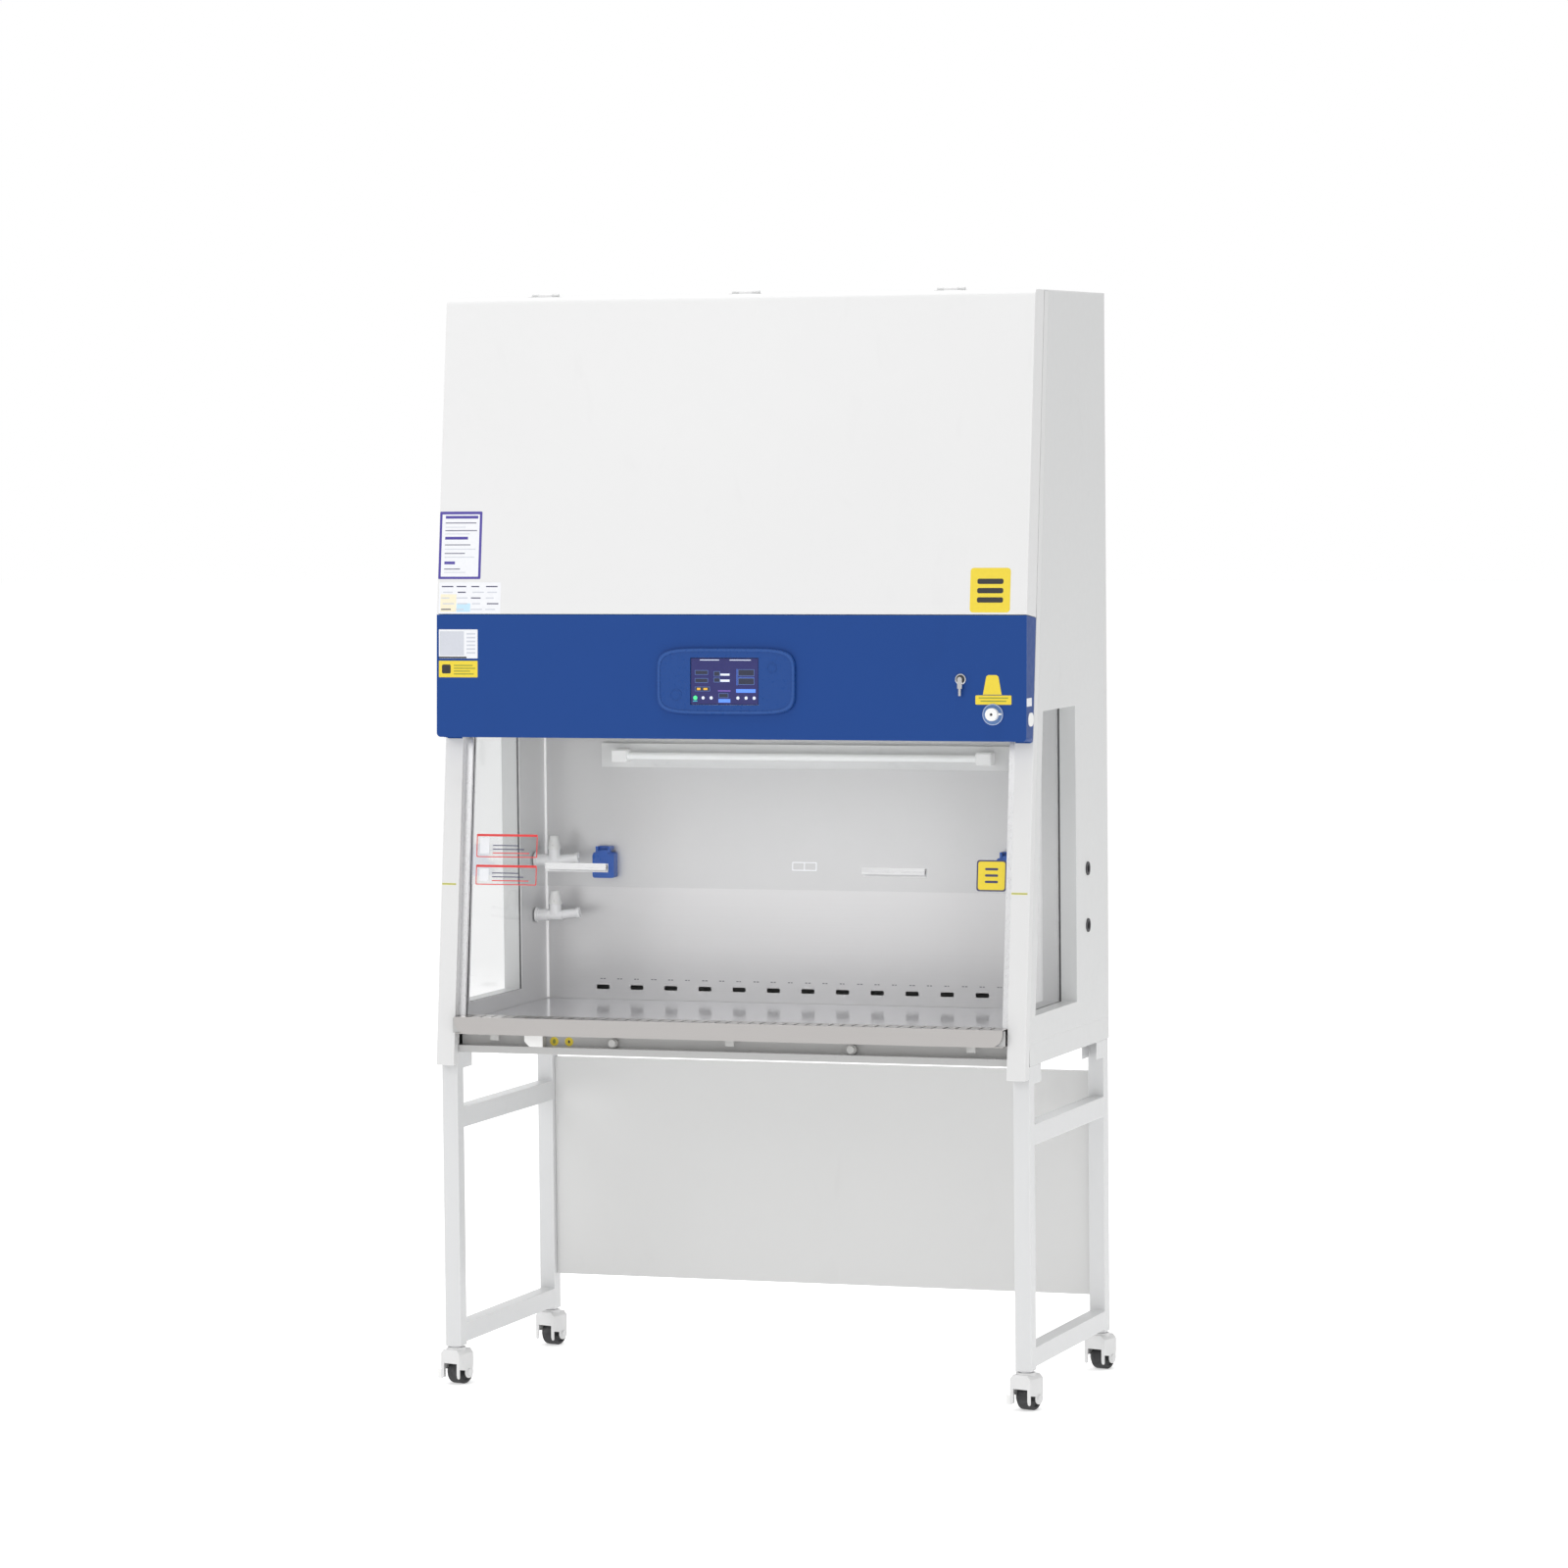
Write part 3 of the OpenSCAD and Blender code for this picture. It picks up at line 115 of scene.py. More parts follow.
def noise(tree, scale, stretch=(1, 1, 1), detail=3.0, distortion=0.0):
    """Noise in the object's own coordinates, in metres."""
    coord = tree.nodes.new("ShaderNodeTexCoord")
    mapping = tree.nodes.new("ShaderNodeMapping")
    mapping.inputs["Scale"].default_value = stretch
    tex = tree.nodes.new("ShaderNodeTexNoise")
    for key, value in (("Scale", scale), ("Detail", detail), ("Distortion", distortion)):
        tex.inputs[key].default_value = value
    tree.links.new(coord.outputs["Object"], mapping.inputs["Vector"])
    tree.links.new(mapping.outputs["Vector"], tex.inputs["Vector"])
    return tex.outputs["Fac"]


def remap(tree, value, given, wanted):
    """A value moved from one range to another."""
    node = tree.nodes.new("ShaderNodeMapRange")
    for key, number in zip(("From Min", "From Max", "To Min", "To Max"), (*given, *wanted)):
        node.inputs[key].default_value = number
    tree.links.new(value, node.inputs["Value"])
    return node.outputs["Result"]


def mix_colour(tree, factor, a, b):
    """Two colours, each a constant or a socket, mixed by a factor."""
    node = tree.nodes.new("ShaderNodeMix")
    node.data_type = "RGBA"
    sockets = [s for s in node.inputs if s.type == "RGBA"]
    for socket, colour in zip(sockets, (a, b)):
        if isinstance(colour, tuple):
            socket.default_value = (*colour, 1)
        else:
            tree.links.new(colour, socket)
    tree.links.new(factor, node.inputs["Factor"])
    return next(s for s in node.outputs if s.type == "RGBA")


def bump(tree, shader, height, strength, distance):
    node = tree.nodes.new("ShaderNodeBump")
    node.inputs["Strength"].default_value = strength
    node.inputs["Distance"].default_value = distance
    tree.links.new(height, node.inputs["Height"])
    tree.links.new(node.outputs["Normal"], shader.inputs["Normal"])


def roughen(tree, shader, value, low, high):
    """Roughness that follows a noise between two values."""
    tree.links.new(remap(tree, value, USUAL, (low, high)), shader.inputs["Roughness"])


def edge_mask(tree, radius):
    """Near 1 within radius of a sharp edge."""
    rounded = tree.nodes.new("ShaderNodeBevel")
    rounded.samples = 3
    rounded.inputs["Radius"].default_value = radius
    geometry = tree.nodes.new("ShaderNodeNewGeometry")
    dot = tree.nodes.new("ShaderNodeVectorMath")
    dot.operation = "DOT_PRODUCT"
    tree.links.new(rounded.outputs["Normal"], dot.inputs[0])
    tree.links.new(geometry.outputs["Normal"], dot.inputs[1])
    return remap(tree, dot.outputs["Value"], EDGE_TURN, (0.0, 1.0))


def scaled(colour, k):
    return tuple(min(1.0, c * k) for c in colour)


def painted(name, colour, rough=0.38, edge=None, cloud=0.02, coat=0.0, gloss=0.5):
    """Powder coat: orange peel, a faint cloudiness, fine scuffs, and a painted highlight of lighter
    colour along sharp edges.
    """
    mat, tree, shader = new_material(name)
    patches = noise(tree, 2.3, detail=5)
    tint = mix_colour(tree, patches, scaled(colour, 1 - cloud), scaled(colour, 1 + cloud))
    scuff = noise(tree, 9, (1, 1, 0.4), detail=9, distortion=1.5)
    scuff = remap(tree, scuff, (0.63, 0.75), (0.0, 0.35))
    tint = mix_colour(tree, scuff, tint, scaled(colour, 0.94))
    # Sharp edges turn to the lighter edge colour: a painted highlight.
    if edge:
        tint = mix_colour(tree, edge_mask(tree, EDGE_HIGHLIGHT_RADIUS), tint, edge)
    tree.links.new(tint, shader.inputs["Base Color"])
    roughen(tree, shader, noise(tree, 60, detail=6), rough - 0.04, rough + 0.05)
    shader.inputs["Specular IOR Level"].default_value = gloss
    shader.inputs["Coat Weight"].default_value = coat
    shader.inputs["Coat Roughness"].default_value = 0.15
    bump(tree, shader, noise(tree, 700, detail=2), strength=0.05, distance=0.0004)
    return mat


def brushed(name, colour, rough=0.3, along=0, strength=0.05, metal=1.0):
    """Brushed metal whose grain runs along one axis: 0 is X, 1 is Y, 2 is Z."""
    mat, tree, shader = new_material(name)
    stretch = tuple(GRAIN_ALONG if axis == along else GRAIN_ACROSS for axis in range(3))
    grain = noise(tree, 1.0, stretch, detail=4)
    cloud = noise(tree, 3.1, detail=4)
    smear = remap(tree, noise(tree, 11, detail=7, distortion=0.8), (0.55, 0.75), (0.0, 0.5))
    tint = mix_colour(tree, grain, scaled(colour, 0.93), scaled(colour, 1.05))
    tint = mix_colour(tree, cloud, tint, scaled(colour, 0.96))
    tree.links.new(tint, shader.inputs["Base Color"])
    add = tree.nodes.new("ShaderNodeMath")
    add.operation = "ADD"
    tree.links.new(remap(tree, grain, USUAL, (rough - 0.05, rough + 0.05)), add.inputs[0])
    tree.links.new(remap(tree, smear, (0.0, 1.0), (0.0, 0.06)), add.inputs[1])
    tree.links.new(add.outputs[0], shader.inputs["Roughness"])
    shader.inputs["Metallic"].default_value = metal
    bump(tree, shader, grain, strength, distance=0.0002)
    return mat


def plastic(name, colour, rough=0.3, grain=0.03, scale=900, gloss=0.5):
    """Moulded plastic with a fine texture and a little wear."""
    mat, tree, shader = new_material(name)
    mark = remap(tree, noise(tree, 45, detail=8, distortion=1.0), (0.6, 0.72), (0.0, 0.5))
    patches = noise(tree, 6, detail=4)
    tint = mix_colour(tree, patches, scaled(colour, 0.97), scaled(colour, 1.03))
    tint = mix_colour(tree, mark, tint, scaled(colour, 0.9))
    tree.links.new(tint, shader.inputs["Base Color"])
    roughen(tree, shader, noise(tree, 120, detail=5), rough - 0.05, rough + 0.07)
    shader.inputs["Specular IOR Level"].default_value = gloss
    bump(tree, shader, noise(tree, scale, detail=2), strength=grain, distance=0.0003)
    return mat


def rubber(name, colour, rough=0.75):
    """Matt rubber with dust in its pores."""
    mat, tree, shader = new_material(name)
    dust = remap(tree, noise(tree, 35, detail=9, distortion=0.6), (0.5, 0.8), (0.0, 0.6))
    tint = mix_colour(tree, dust, colour, scaled(tuple(c + 0.04 for c in colour), 1.6))
    tree.links.new(tint, shader.inputs["Base Color"])
    roughen(tree, shader, noise(tree, 80), rough - 0.08, rough + 0.08)
    bump(tree, shader, noise(tree, 500, detail=5), strength=0.25, distance=0.0005)
    return mat


def pane(name, tint):
    """Clear glass with faint smudges. It lets the lamps and the light off the chamber through."""
    mat, tree, shader = new_material(name)
    smudge = noise(tree, 7, detail=8, distortion=0.7)
    haze = mix_colour(tree, smudge, scaled(tint, 0.985), scaled(tint, 1.01))
    tree.links.new(haze, shader.inputs["Base Color"])
    shader.inputs["Transmission Weight"].default_value = 1.0
    shader.inputs["IOR"].default_value = GLASS_IOR
    shader.inputs["Roughness"].default_value = 0.0
    shader.inputs["Specular Tint"].default_value = GLASS_GLINT
    clear = tree.nodes.new("ShaderNodeBsdfTransparent")
    clear.inputs["Color"].default_value = (*scaled(tint, 0.99), 1)
    path = tree.nodes.new("ShaderNodeLightPath")
    either = tree.nodes.new("ShaderNodeMath")
    either.operation = "MAXIMUM"
    tree.links.new(path.outputs["Is Shadow Ray"], either.inputs[0])
    tree.links.new(path.outputs["Is Diffuse Ray"], either.inputs[1])
    mixer = tree.nodes.new("ShaderNodeMixShader")
    tree.links.new(either.outputs[0], mixer.inputs[0])
    tree.links.new(shader.outputs[0], mixer.inputs[1])
    tree.links.new(clear.outputs[0], mixer.inputs[2])
    out = next(n for n in tree.nodes if n.type == "OUTPUT_MATERIAL")
    tree.links.new(mixer.outputs[0], out.inputs["Surface"])
    return mat


def printed(name, colour):
    """Vinyl label: one colour with a slightly uneven print and a fine surface."""
    mat, tree, shader = new_material(name)
    patches = noise(tree, 160, detail=6)
    tint = mix_colour(tree, patches, scaled(colour, 0.95), scaled(colour, 1.04))
    tree.links.new(tint, shader.inputs["Base Color"])
    roughen(tree, shader, noise(tree, 300), 0.4, 0.5)
    bump(tree, shader, noise(tree, 1400, detail=2), strength=0.03, distance=0.0002)
    return mat


def glowing(name, colour, strength):
    """Its own colour plus a little emitted light: the screen and the work light shine, and on the
    lamp glass, the lamp caps and the corner strips it is painted light from the bright chamber.
    """
    mat, tree, shader = new_material(name)
    patches = noise(tree, 400, detail=2)
    tint = mix_colour(tree, patches, scaled(colour, 0.94), scaled(colour, 1.05))
    tree.links.new(tint, shader.inputs["Base Color"])
    tree.links.new(tint, shader.inputs["Emission Color"])
    roughen(tree, shader, noise(tree, 90), 0.2, 0.26)
    shader.inputs["Emission Strength"].default_value = strength
    return mat


WHITE = painted("white_coat", (0.745, 0.745, 0.745), edge=(0.92, 0.92, 0.92), gloss=0.35)
POST = painted("post_coat", (0.71, 0.71, 0.71), edge=(0.90, 0.90, 0.90), gloss=0.35)
# A darker copy of the cover's white paint for the side, rear and roof panels, the base pan and
# inner parts: painted shade for how they face the lamps.
PANEL_SHADE = painted("panel_coat", (0.665, 0.67, 0.67), edge=(0.88, 0.88, 0.88))
FRAME_COAT = painted("stand_coat", (0.66, 0.665, 0.67), rough=0.34, edge=(0.94, 0.94, 0.94))
BACK_COAT = painted("back_panel_coat", (0.66, 0.66, 0.655), edge=(0.75, 0.75, 0.75))
BLUE = painted(
    "hood_coat", (0.009, 0.055, 0.245), rough=0.42, edge=(0.03, 0.11, 0.36), cloud=0.04, gloss=0.2
)
BEZEL = plastic("bezel_plastic", (0.010, 0.060, 0.255), rough=0.3, gloss=0.3)
SCREEN = plastic("screen_glass", (0.006, 0.016, 0.085), rough=0.16, grain=0.005, gloss=0.3)
STEEL = brushed("chamber_steel", (0.69, 0.685, 0.69), rough=0.36, along=0, metal=0.6)
STEEL_SIDE = brushed("chamber_side_steel", (0.77, 0.77, 0.775), rough=0.36, along=1, metal=0.5)
STEEL_TOP = brushed("work_surface_steel", (0.76, 0.76, 0.785), rough=0.15, along=0, metal=0.78)
LIP_STEEL = brushed("armrest_steel", (0.475, 0.458, 0.448), rough=0.33, along=0)
ALU = brushed("anodised", (0.80, 0.80, 0.81), rough=0.3, along=2)
ALU_X = brushed("anodised_bar", (0.82, 0.82, 0.83), rough=0.28, along=0)
ZINC = brushed("zinc_plate", (0.60, 0.60, 0.61), rough=0.36, along=2)
CAST = painted("motor_coat", (0.22, 0.23, 0.24), rough=0.5)
CHROME = brushed("polished_chrome", (0.86, 0.86, 0.87), rough=0.09, along=2, strength=0.01)
SASH_GLASS = pane("sash_glass_pane", (0.92, 0.925, 0.925))
SIDE_GLASS = pane("side_glass_pane", (0.91, 0.915, 0.915))
SEAL = rubber("seal_rubber", (0.06, 0.06, 0.065))
TYRE = rubber("wheel_rubber", (0.028, 0.028, 0.03), rough=0.62)
WHITE_PLASTIC = plastic("white_plastic", (0.86, 0.86, 0.85), rough=0.32)
# The lamp glass and the lamp caps glow a little: painted light standing in for the bright chamber's
# light on them.
LAMP_GLASS_GLOW = glowing("lamp_glass_painted_glow", (0.93, 0.94, 0.94), 0.18)
LAMP_BASE = plastic("lamp_base_plastic", (0.84, 0.84, 0.84), rough=0.35)
LAMP_CAP_GLOW = glowing("lamp_cap_painted_glow", (0.92, 0.92, 0.92), 0.16)
# Strips that glow along the back corners of the chamber: a painted highlight.
CORNER_HIGHLIGHT = glowing("corner_highlight_glow", (0.93, 0.93, 0.93), 0.3)
CASTER_COAT = plastic("caster_plastic", (0.72, 0.72, 0.72), rough=0.36)
FITTING_GREY = plastic("fitting_plastic", (0.50, 0.50, 0.49), rough=0.4)
WORK_LIGHT = glowing("work_light_glow", (1.0, 1.0, 0.99), 1.4)
# A darker grey: painted shade on the base front under the armrest, and the colour of the plates
# closing the armrest lip's ends.
DARK_GREY_COAT = painted("dark_grey_coat", (0.46, 0.46, 0.455), rough=0.5)
# A lighter blue than the bezel: a painted highlight on the rim
BEZEL_RIM_HIGHLIGHT = plastic("bezel_rim_highlight_plastic", (0.019, 0.078, 0.29), rough=0.28, gloss=0.35)
PORT_CLEAR = plastic("port_collar_plastic", (0.10, 0.19, 0.40), rough=0.2)
PORT_EDGE = plastic("port_collar_edge", (0.42, 0.50, 0.68), rough=0.25)
SOCKET_BLUE = plastic("socket_plastic", (0.022, 0.115, 0.50), rough=0.3)
BLACK_PLASTIC = plastic("black_plastic", (0.03, 0.03, 0.034), rough=0.42)
PAPER = plastic("filter_paper", (0.86, 0.86, 0.82), rough=0.85, grain=0.15, scale=400)
TAP_COAT = painted("tap_coat", (0.93, 0.93, 0.94), rough=0.22, coat=0.4)

FINISH = {
    "stand_frame_left": FRAME_COAT,
    "stand_frame_right": FRAME_COAT,
    "stand_back_panel": BACK_COAT,
    "base_pan": PANEL_SHADE,
    "base_front_fittings": FITTING_GREY,
    "post_left": POST,
    "post_right": POST,
    "side_panel_left": PANEL_SHADE,
    "side_panel_right": PANEL_SHADE,
    "rear_panel": PANEL_SHADE,
    "roof_panel": PANEL_SHADE,
    "control_hood": BLUE,
    "control_bezel": BEZEL,
    "display_panel": SCREEN,
    "key_lock": CHROME,
    "test_ports": WHITE_PLASTIC,
    "sash_guides": ALU,
    "counterweight_rods": ZINC,
    "supply_filter": PAPER,
    "exhaust_filter": PAPER,
    "plenum_box": PANEL_SHADE,
    "blower_housing": ZINC,
    "fan_motor": CAST,
    "back_wall": STEEL,
    "liner_left": STEEL_SIDE,
    "liner_right": STEEL_SIDE,
    "side_glass": SIDE_GLASS,
    "rubber_seals": SEAL,
    "work_surface": STEEL_TOP,
    "armrest_grille": LIP_STEEL,
    "uv_lamp_base": LAMP_BASE,
    "uv_lamp_tube": LAMP_GLASS_GLOW,
    "work_light": WORK_LIGHT,
    "sockets": SOCKET_BLUE,
    "tap_bodies": TAP_COAT,
    "mains_inlet": BLACK_PLASTIC,
    "caster_stems": ZINC,
    "exhaust_guard": PANEL_SHADE,
    "front_cover": WHITE,
    "sash_glass": SASH_GLASS,
    "sash_handles": ALU_X,
    "sash_clamp": ALU_X,
    "counterweight": STEEL,
    "pulley_shaft": ZINC,
    "impeller": ZINC,
    "key": CHROME,
    "socket_lid_left": SOCKET_BLUE,
    "socket_lid_right": SOCKET_BLUE,
    "tap_handle_upper": WHITE_PLASTIC,
    "tap_handle_lower": WHITE_PLASTIC,
    "brake_left": WHITE_PLASTIC,
    "brake_right": WHITE_PLASTIC,
}
for corner in CORNERS:
    FINISH["fork_" + corner] = CASTER_COAT
    FINISH["wheel_" + corner] = TYRE

# Widths of softened edges. The side panels stay sharp: their thin faces show a line when bevelled.
BEVELS = {
    "front_cover": 0.8,
    "control_hood": 1.0,
    "post_left": 0.8,
    "post_right": 0.8,
    "base_pan": 0.6,
    "stand_frame_left": 1.2,
    "stand_frame_right": 1.2,
    "stand_back_panel": 0.6,
    "roof_panel": 0.6,
    "armrest_grille": 0.5,
    "control_bezel": 1.6,
    "base_front_fittings": 0.8,
    "sockets": 0.8,
    "socket_lid_left": 0.8,
    "socket_lid_right": 0.8,
    "uv_lamp_base": 1.0,
    "tap_bodies": 0.8,
    "tap_handle_upper": 1.2,
    "tap_handle_lower": 1.2,
    "sash_handles": 0.5,
    "key": 0.8,
    "key_lock": 0.8,
    "test_ports": 0.8,
}
for corner in CORNERS:
    BEVELS["fork_" + corner] = 0.8
    BEVELS["wheel_" + corner] = 0.8

# Edges that turn by more than this are softened, after points closer than a distance are welded
SHARP = math.radians(42)
WELD_DISTANCE = 0.002


def finish_node(name, mat):
    piece = nodes[name]
    piece.data.materials.clear()
    piece.data.materials.append(mat)
    if name in BEVELS:
        weld = piece.modifiers.new("weld", "WELD")
        weld.merge_threshold = WELD_DISTANCE * MM
        soft = piece.modifiers.new("bevel", "BEVEL")
        soft.width = BEVELS[name] * MM
        soft.segments = 2
        soft.limit_method = "ANGLE"
        soft.angle_limit = SHARP
        soft.use_clamp_overlap = True
        soft.harden_normals = False


for node_name, finish in FINISH.items():
    finish_node(node_name, finish)


# ---------------------------------------------------------------- shapes
# Softened edges of a raised shape: of vinyl, and of what is printed on it
SOFT, FINE = 0.08, 0.05
CORNER_STEPS = 5
# A sharp corner would run far inwards when it shrinks, so its share is held at this
LEAST_SHARE = 0.35


def rect(x0, x1, y0, y1, r=0.0):
    """Outline of a rectangle with rounded corners."""
    if r <= 0:
        return [(x0, y0), (x1, y0), (x1, y1), (x0, y1)]
    points = []
    left, right, foot, top = x0 + r, x1 - r, y0 + r, y1 - r
    for cx, cy, start in ((right, foot, -90), (right, top, 0), (left, top, 90), (left, foot, 180)):
        for i in range(CORNER_STEPS + 1):
            a = math.radians(start + 90 * i / CORNER_STEPS)
            points.append((cx + r * math.cos(a), cy + r * math.sin(a)))
    return points


def disc(cx, cy, rx, ry=None, steps=40):
    """Outline of a circle, or of an ellipse where ry is given."""
    ry = rx if ry is None else ry
    turns = [2 * math.pi * i / steps for i in range(steps)]
    return [(cx + rx * math.cos(a), cy + ry * math.sin(a)) for a in turns]


def shrink(outline, by):
    """The outline moved inwards by a small distance; the outline runs anticlockwise."""
    n = len(outline)
    result = []
    for i in range(n):
        before, here, after = (Vector(outline[(i + k) % n]) for k in (-1, 0, 1))
        a, b = (here - before).normalized(), (after - here).normalized()
        normal = Vector((-a.y - b.y, a.x + b.x)).normalized()
        share = max(LEAST_SHARE, normal.dot(Vector((-a.y, a.x))))
        result.append(tuple(here + normal * by / share))
    return result


class Face:
    """A flat face seen from the front: X is the cabinet's X, Y runs up the face, Z points out.

    It leans back from the vertical and passes through a point of the side view, given as y and
    height. A place moves it into a frame of its own, such as a caster's.
    """

    def __init__(self, point, lean, place=None):
        self.z, self.cos = point[1], math.cos(lean)
        sin = math.sin(lean)
        turn = Matrix(((1, 0, 0), (0, sin, -self.cos), (0, self.cos, sin))).to_4x4()
        self.matrix = (place or Matrix()) @ Matrix.Translation(Vector((0, *point)) * MM) @ turn

    def up(self, z):
        """Distance up the face of a height above the floor."""
        return (z - self.z) / self.cos

    def rect(self, x0, x1, z0, z1, r=0.0):
        return rect(x0, x1, self.up(z0), self.up(z1), r)

    def at(self, x, y, z):
        return self.matrix @ (Vector((x, y, z)) * MM)


class SideFace:
    """The right-hand side seen from outside: X runs back along Y, Y is the height, Z points out."""

    def __init__(self, x):
        self.x = x

    def at(self, y, z, out):
        return Vector((self.x + out, y, z)) * MM


def lean_face(n):
    """The face at a distance in front of the leaning seam."""
    return Face((SEAM_Y + n * COS, BASE_Z - n * SIN), LEAN)


class Piece:
    """Collects raised flat shapes in one mesh, each with its own material."""

    def __init__(self, name, body="root"):
        self.name, self.body = name, body
        self.mesh = bmesh.new()
        self.materials = []

    def _loop(self, face, outline, z):
        return [self.mesh.verts.new(face.at(x, y, z)) for x, y in outline]

    def _face(self, verts, mat):
        if mat not in self.materials:
            self.materials.append(mat)
        self.mesh.faces.new(verts).material_index = self.materials.index(mat)

    def _wall(self, low, high, mat):
        """The band between two loops with the same number of points."""
        n = len(low)
        for i in range(n):
            j = (i + 1) % n
            self._face((low[i], low[j], high[j], high[i]), mat)

    def raised(self, face, outline, z0, z1, mat, edge=SOFT):
        """A closed shape over an outline, from z0 to z1 above the face, with soft upper edges."""
        bottom = self._loop(face, outline, z0)
        shoulder = self._loop(face, outline, z1 - edge)
        top = self._loop(face, shrink(outline, edge), z1)
        self._face(bottom[::-1], mat)
        self._face(top, mat)
        self._wall(bottom, shoulder, mat)
        self._wall(shoulder, top, mat)

    def rows(self, face, rows, base=0):
        """Raised rectangles: x0, x1, z0, z1, corner radius, height, material and softened edge."""
        for x0, x1, z0, z1, corner, height, mat, edge in rows:
            self.raised(face, face.rect(x0, x1, z0, z1, corner), base, height, mat, edge)

    def ring(self, face, outer, inner, z0, z1, mat):
        """A frame between two outlines with the same number of points."""
        pairs = ((outer, z0), (outer, z1), (inner, z1), (inner, z0))
        loops = [self._loop(face, outline, z) for outline, z in pairs]
        for a, b in ((0, 1), (1, 2), (2, 3), (3, 0)):
            self._wall(loops[a], loops[b], mat)

    def border(self, face, area, line, corners, base, height, mat):
        """A frame inside a rectangle; corners are its outer and inner radius."""
        x0, x1, z0, z1 = area
        outer = face.rect(x0, x1, z0, z1, corners[0])
        inner = face.rect(x0 + line, x1 - line, z0 + line, z1 - line, corners[1])
        self.ring(face, outer, inner, base, height, mat)

    def dome(self, face, cx, cy, profile, peak, mat, steps):
        """A turned shape: profile is (radius, height) pairs from the rim up to the peak."""
        loops = [self._loop(face, disc(cx, cy, r, steps=steps), z) for r, z in profile]
        top = self.mesh.verts.new(face.at(cx, cy, peak))
        self._face(loops[0][::-1], mat)
        for low, high in zip(loops, loops[1:]):
            self._wall(low, high, mat)
        for i in range(steps):
            self._face((loops[-1][i], loops[-1][(i + 1) % steps], top), mat)

    def done(self):
        data = bpy.data.meshes.new(self.name)
        bmesh.ops.recalc_face_normals(self.mesh, faces=self.mesh.faces)
        self.mesh.to_mesh(data)
        self.mesh.free()
        for mat in self.materials:
            data.materials.append(mat)
        piece = bpy.data.objects.new(self.name, data)
        bpy.context.scene.collection.objects.link(piece)
        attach(piece, self.body)


def label(name, face, rows, body="root", base=0):
    """A piece of raised rectangles only."""
    piece = Piece(name, body)
    piece.rows(face, rows, base)
    piece.done()


cover_face = Face(COVER_FOOT, COVER_LEAN)
hood_face = Face(HOOD_EDGE, HOOD_LEAN)
post_face = lean_face(POST_N)
sash_face = lean_face(SASH_N)
seam_foot = Face((SEAM_Y, 0), 0)
riser = Face((RISER_Y, 0), 0)
ledge = Face((LEDGE_Y, 0), 0)
back_wall = Face((BACK_WALL_Y, 0), 0)

# ---------------------------------------------------------------- label colours and cover labels
PURPLE = printed("print_purple", (0.07, 0.05, 0.32))
LABEL_WHITE = printed("print_white", (0.82, 0.83, 0.86))
LABEL_GREY = printed("print_grey", (0.60, 0.62, 0.68))
DASH_GREY = printed("print_dash", (0.24, 0.24, 0.26))
LABEL_DARK = printed("print_dark", (0.02, 0.02, 0.022))
CREAM = printed("print_cream", (0.86, 0.80, 0.60))
SKY = printed("print_sky", (0.52, 0.74, 0.90))
YELLOW = printed("print_yellow", (0.80, 0.62, 0.035))
PALE_YELLOW = printed("print_pale_yellow", (0.85, 0.80, 0.35))
OLIVE = printed("print_olive", (0.26, 0.29, 0.03))
RED = printed("print_red", (0.72, 0.05, 0.05))
INK = printed("print_ink", (0.05, 0.05, 0.12))

# Foot, right end, height and colour of the printed lines, which all start at SHEET_LEFT
SHEET_LINES = (
    (1841, -562, 6, PURPLE),
    (1797, -584, 6, PURPLE),
    (1745, -612, 6, PURPLE),
    (1831, -566, 1.8, INK),
    (1822, -590, 1.8, LABEL_GREY),
    (1815, -564, 1.8, INK),
    (1808, -580, 1.8, LABEL_GREY),
    (1785, -578, 1.8, INK),
    (1776, -566, 1.8, LABEL_GREY),
    (1767, -590, 1.8, INK),
    (1759, -568, 1.8, LABEL_GREY),
    (1734, -600, 1.8, INK),
    (1727, -588, 1.8, LABEL_GREY),
)
SHEET_LEFT = -636
label("label_sheet_upper", cover_face, [
    (-649, -553, 1714, 1856, 2, 0.30, PURPLE, SOFT),
    (-643.5, -558.5, 1719, 1850, 1, 0.42, LABEL_WHITE, SOFT),
    *((SHEET_LEFT, x1, z, z + tall, 0, 0.50, mat, FINE) for z, x1, tall, mat in SHEET_LINES),
], "cover")

GRID_LEFT, GRID_TOP = -640, 1697
GRID_COLUMN, GRID_ROW, GRID_SHIFT = 33.5, 12, 3
GRID_TALL = 2.4


def grid_line(row, column):
    """One of the short lines: they differ in length, and every other row is shifted."""
    x = GRID_LEFT + column * GRID_COLUMN + GRID_SHIFT * (row % 2)
    z = GRID_TOP - row * GRID_ROW
    length = 26 - 4 * ((row + column) % 3)
    mat = INK if (row * 3 + column) % 4 == 0 or row == 0 else LABEL_GREY
    return x, x + length, z, z + GRID_TALL, 0, 0.42, mat, FINE


label("label_grid_lower", cover_face, [
    (-646, -506, 1641, 1707, 1.5, 0.30, LABEL_WHITE, SOFT),
    (-642, -606, 1645, 1682, 0, 0.34, CREAM, FINE),
    (-605, -574, 1645, 1663, 0, 0.34, SKY, FINE),
    *(grid_line(row, column) for row in range(5) for column in range(4)),
], "cover")

label("label_square_yellow", cover_face, [
    (528, 614, 1645, 1736, 7, 0.35, YELLOW, 0.12),
    *((543, 599, z, z + 11, 4, 0.42, LABEL_DARK, FINE) for z in (1665, 1684, 1703)),
], "cover")

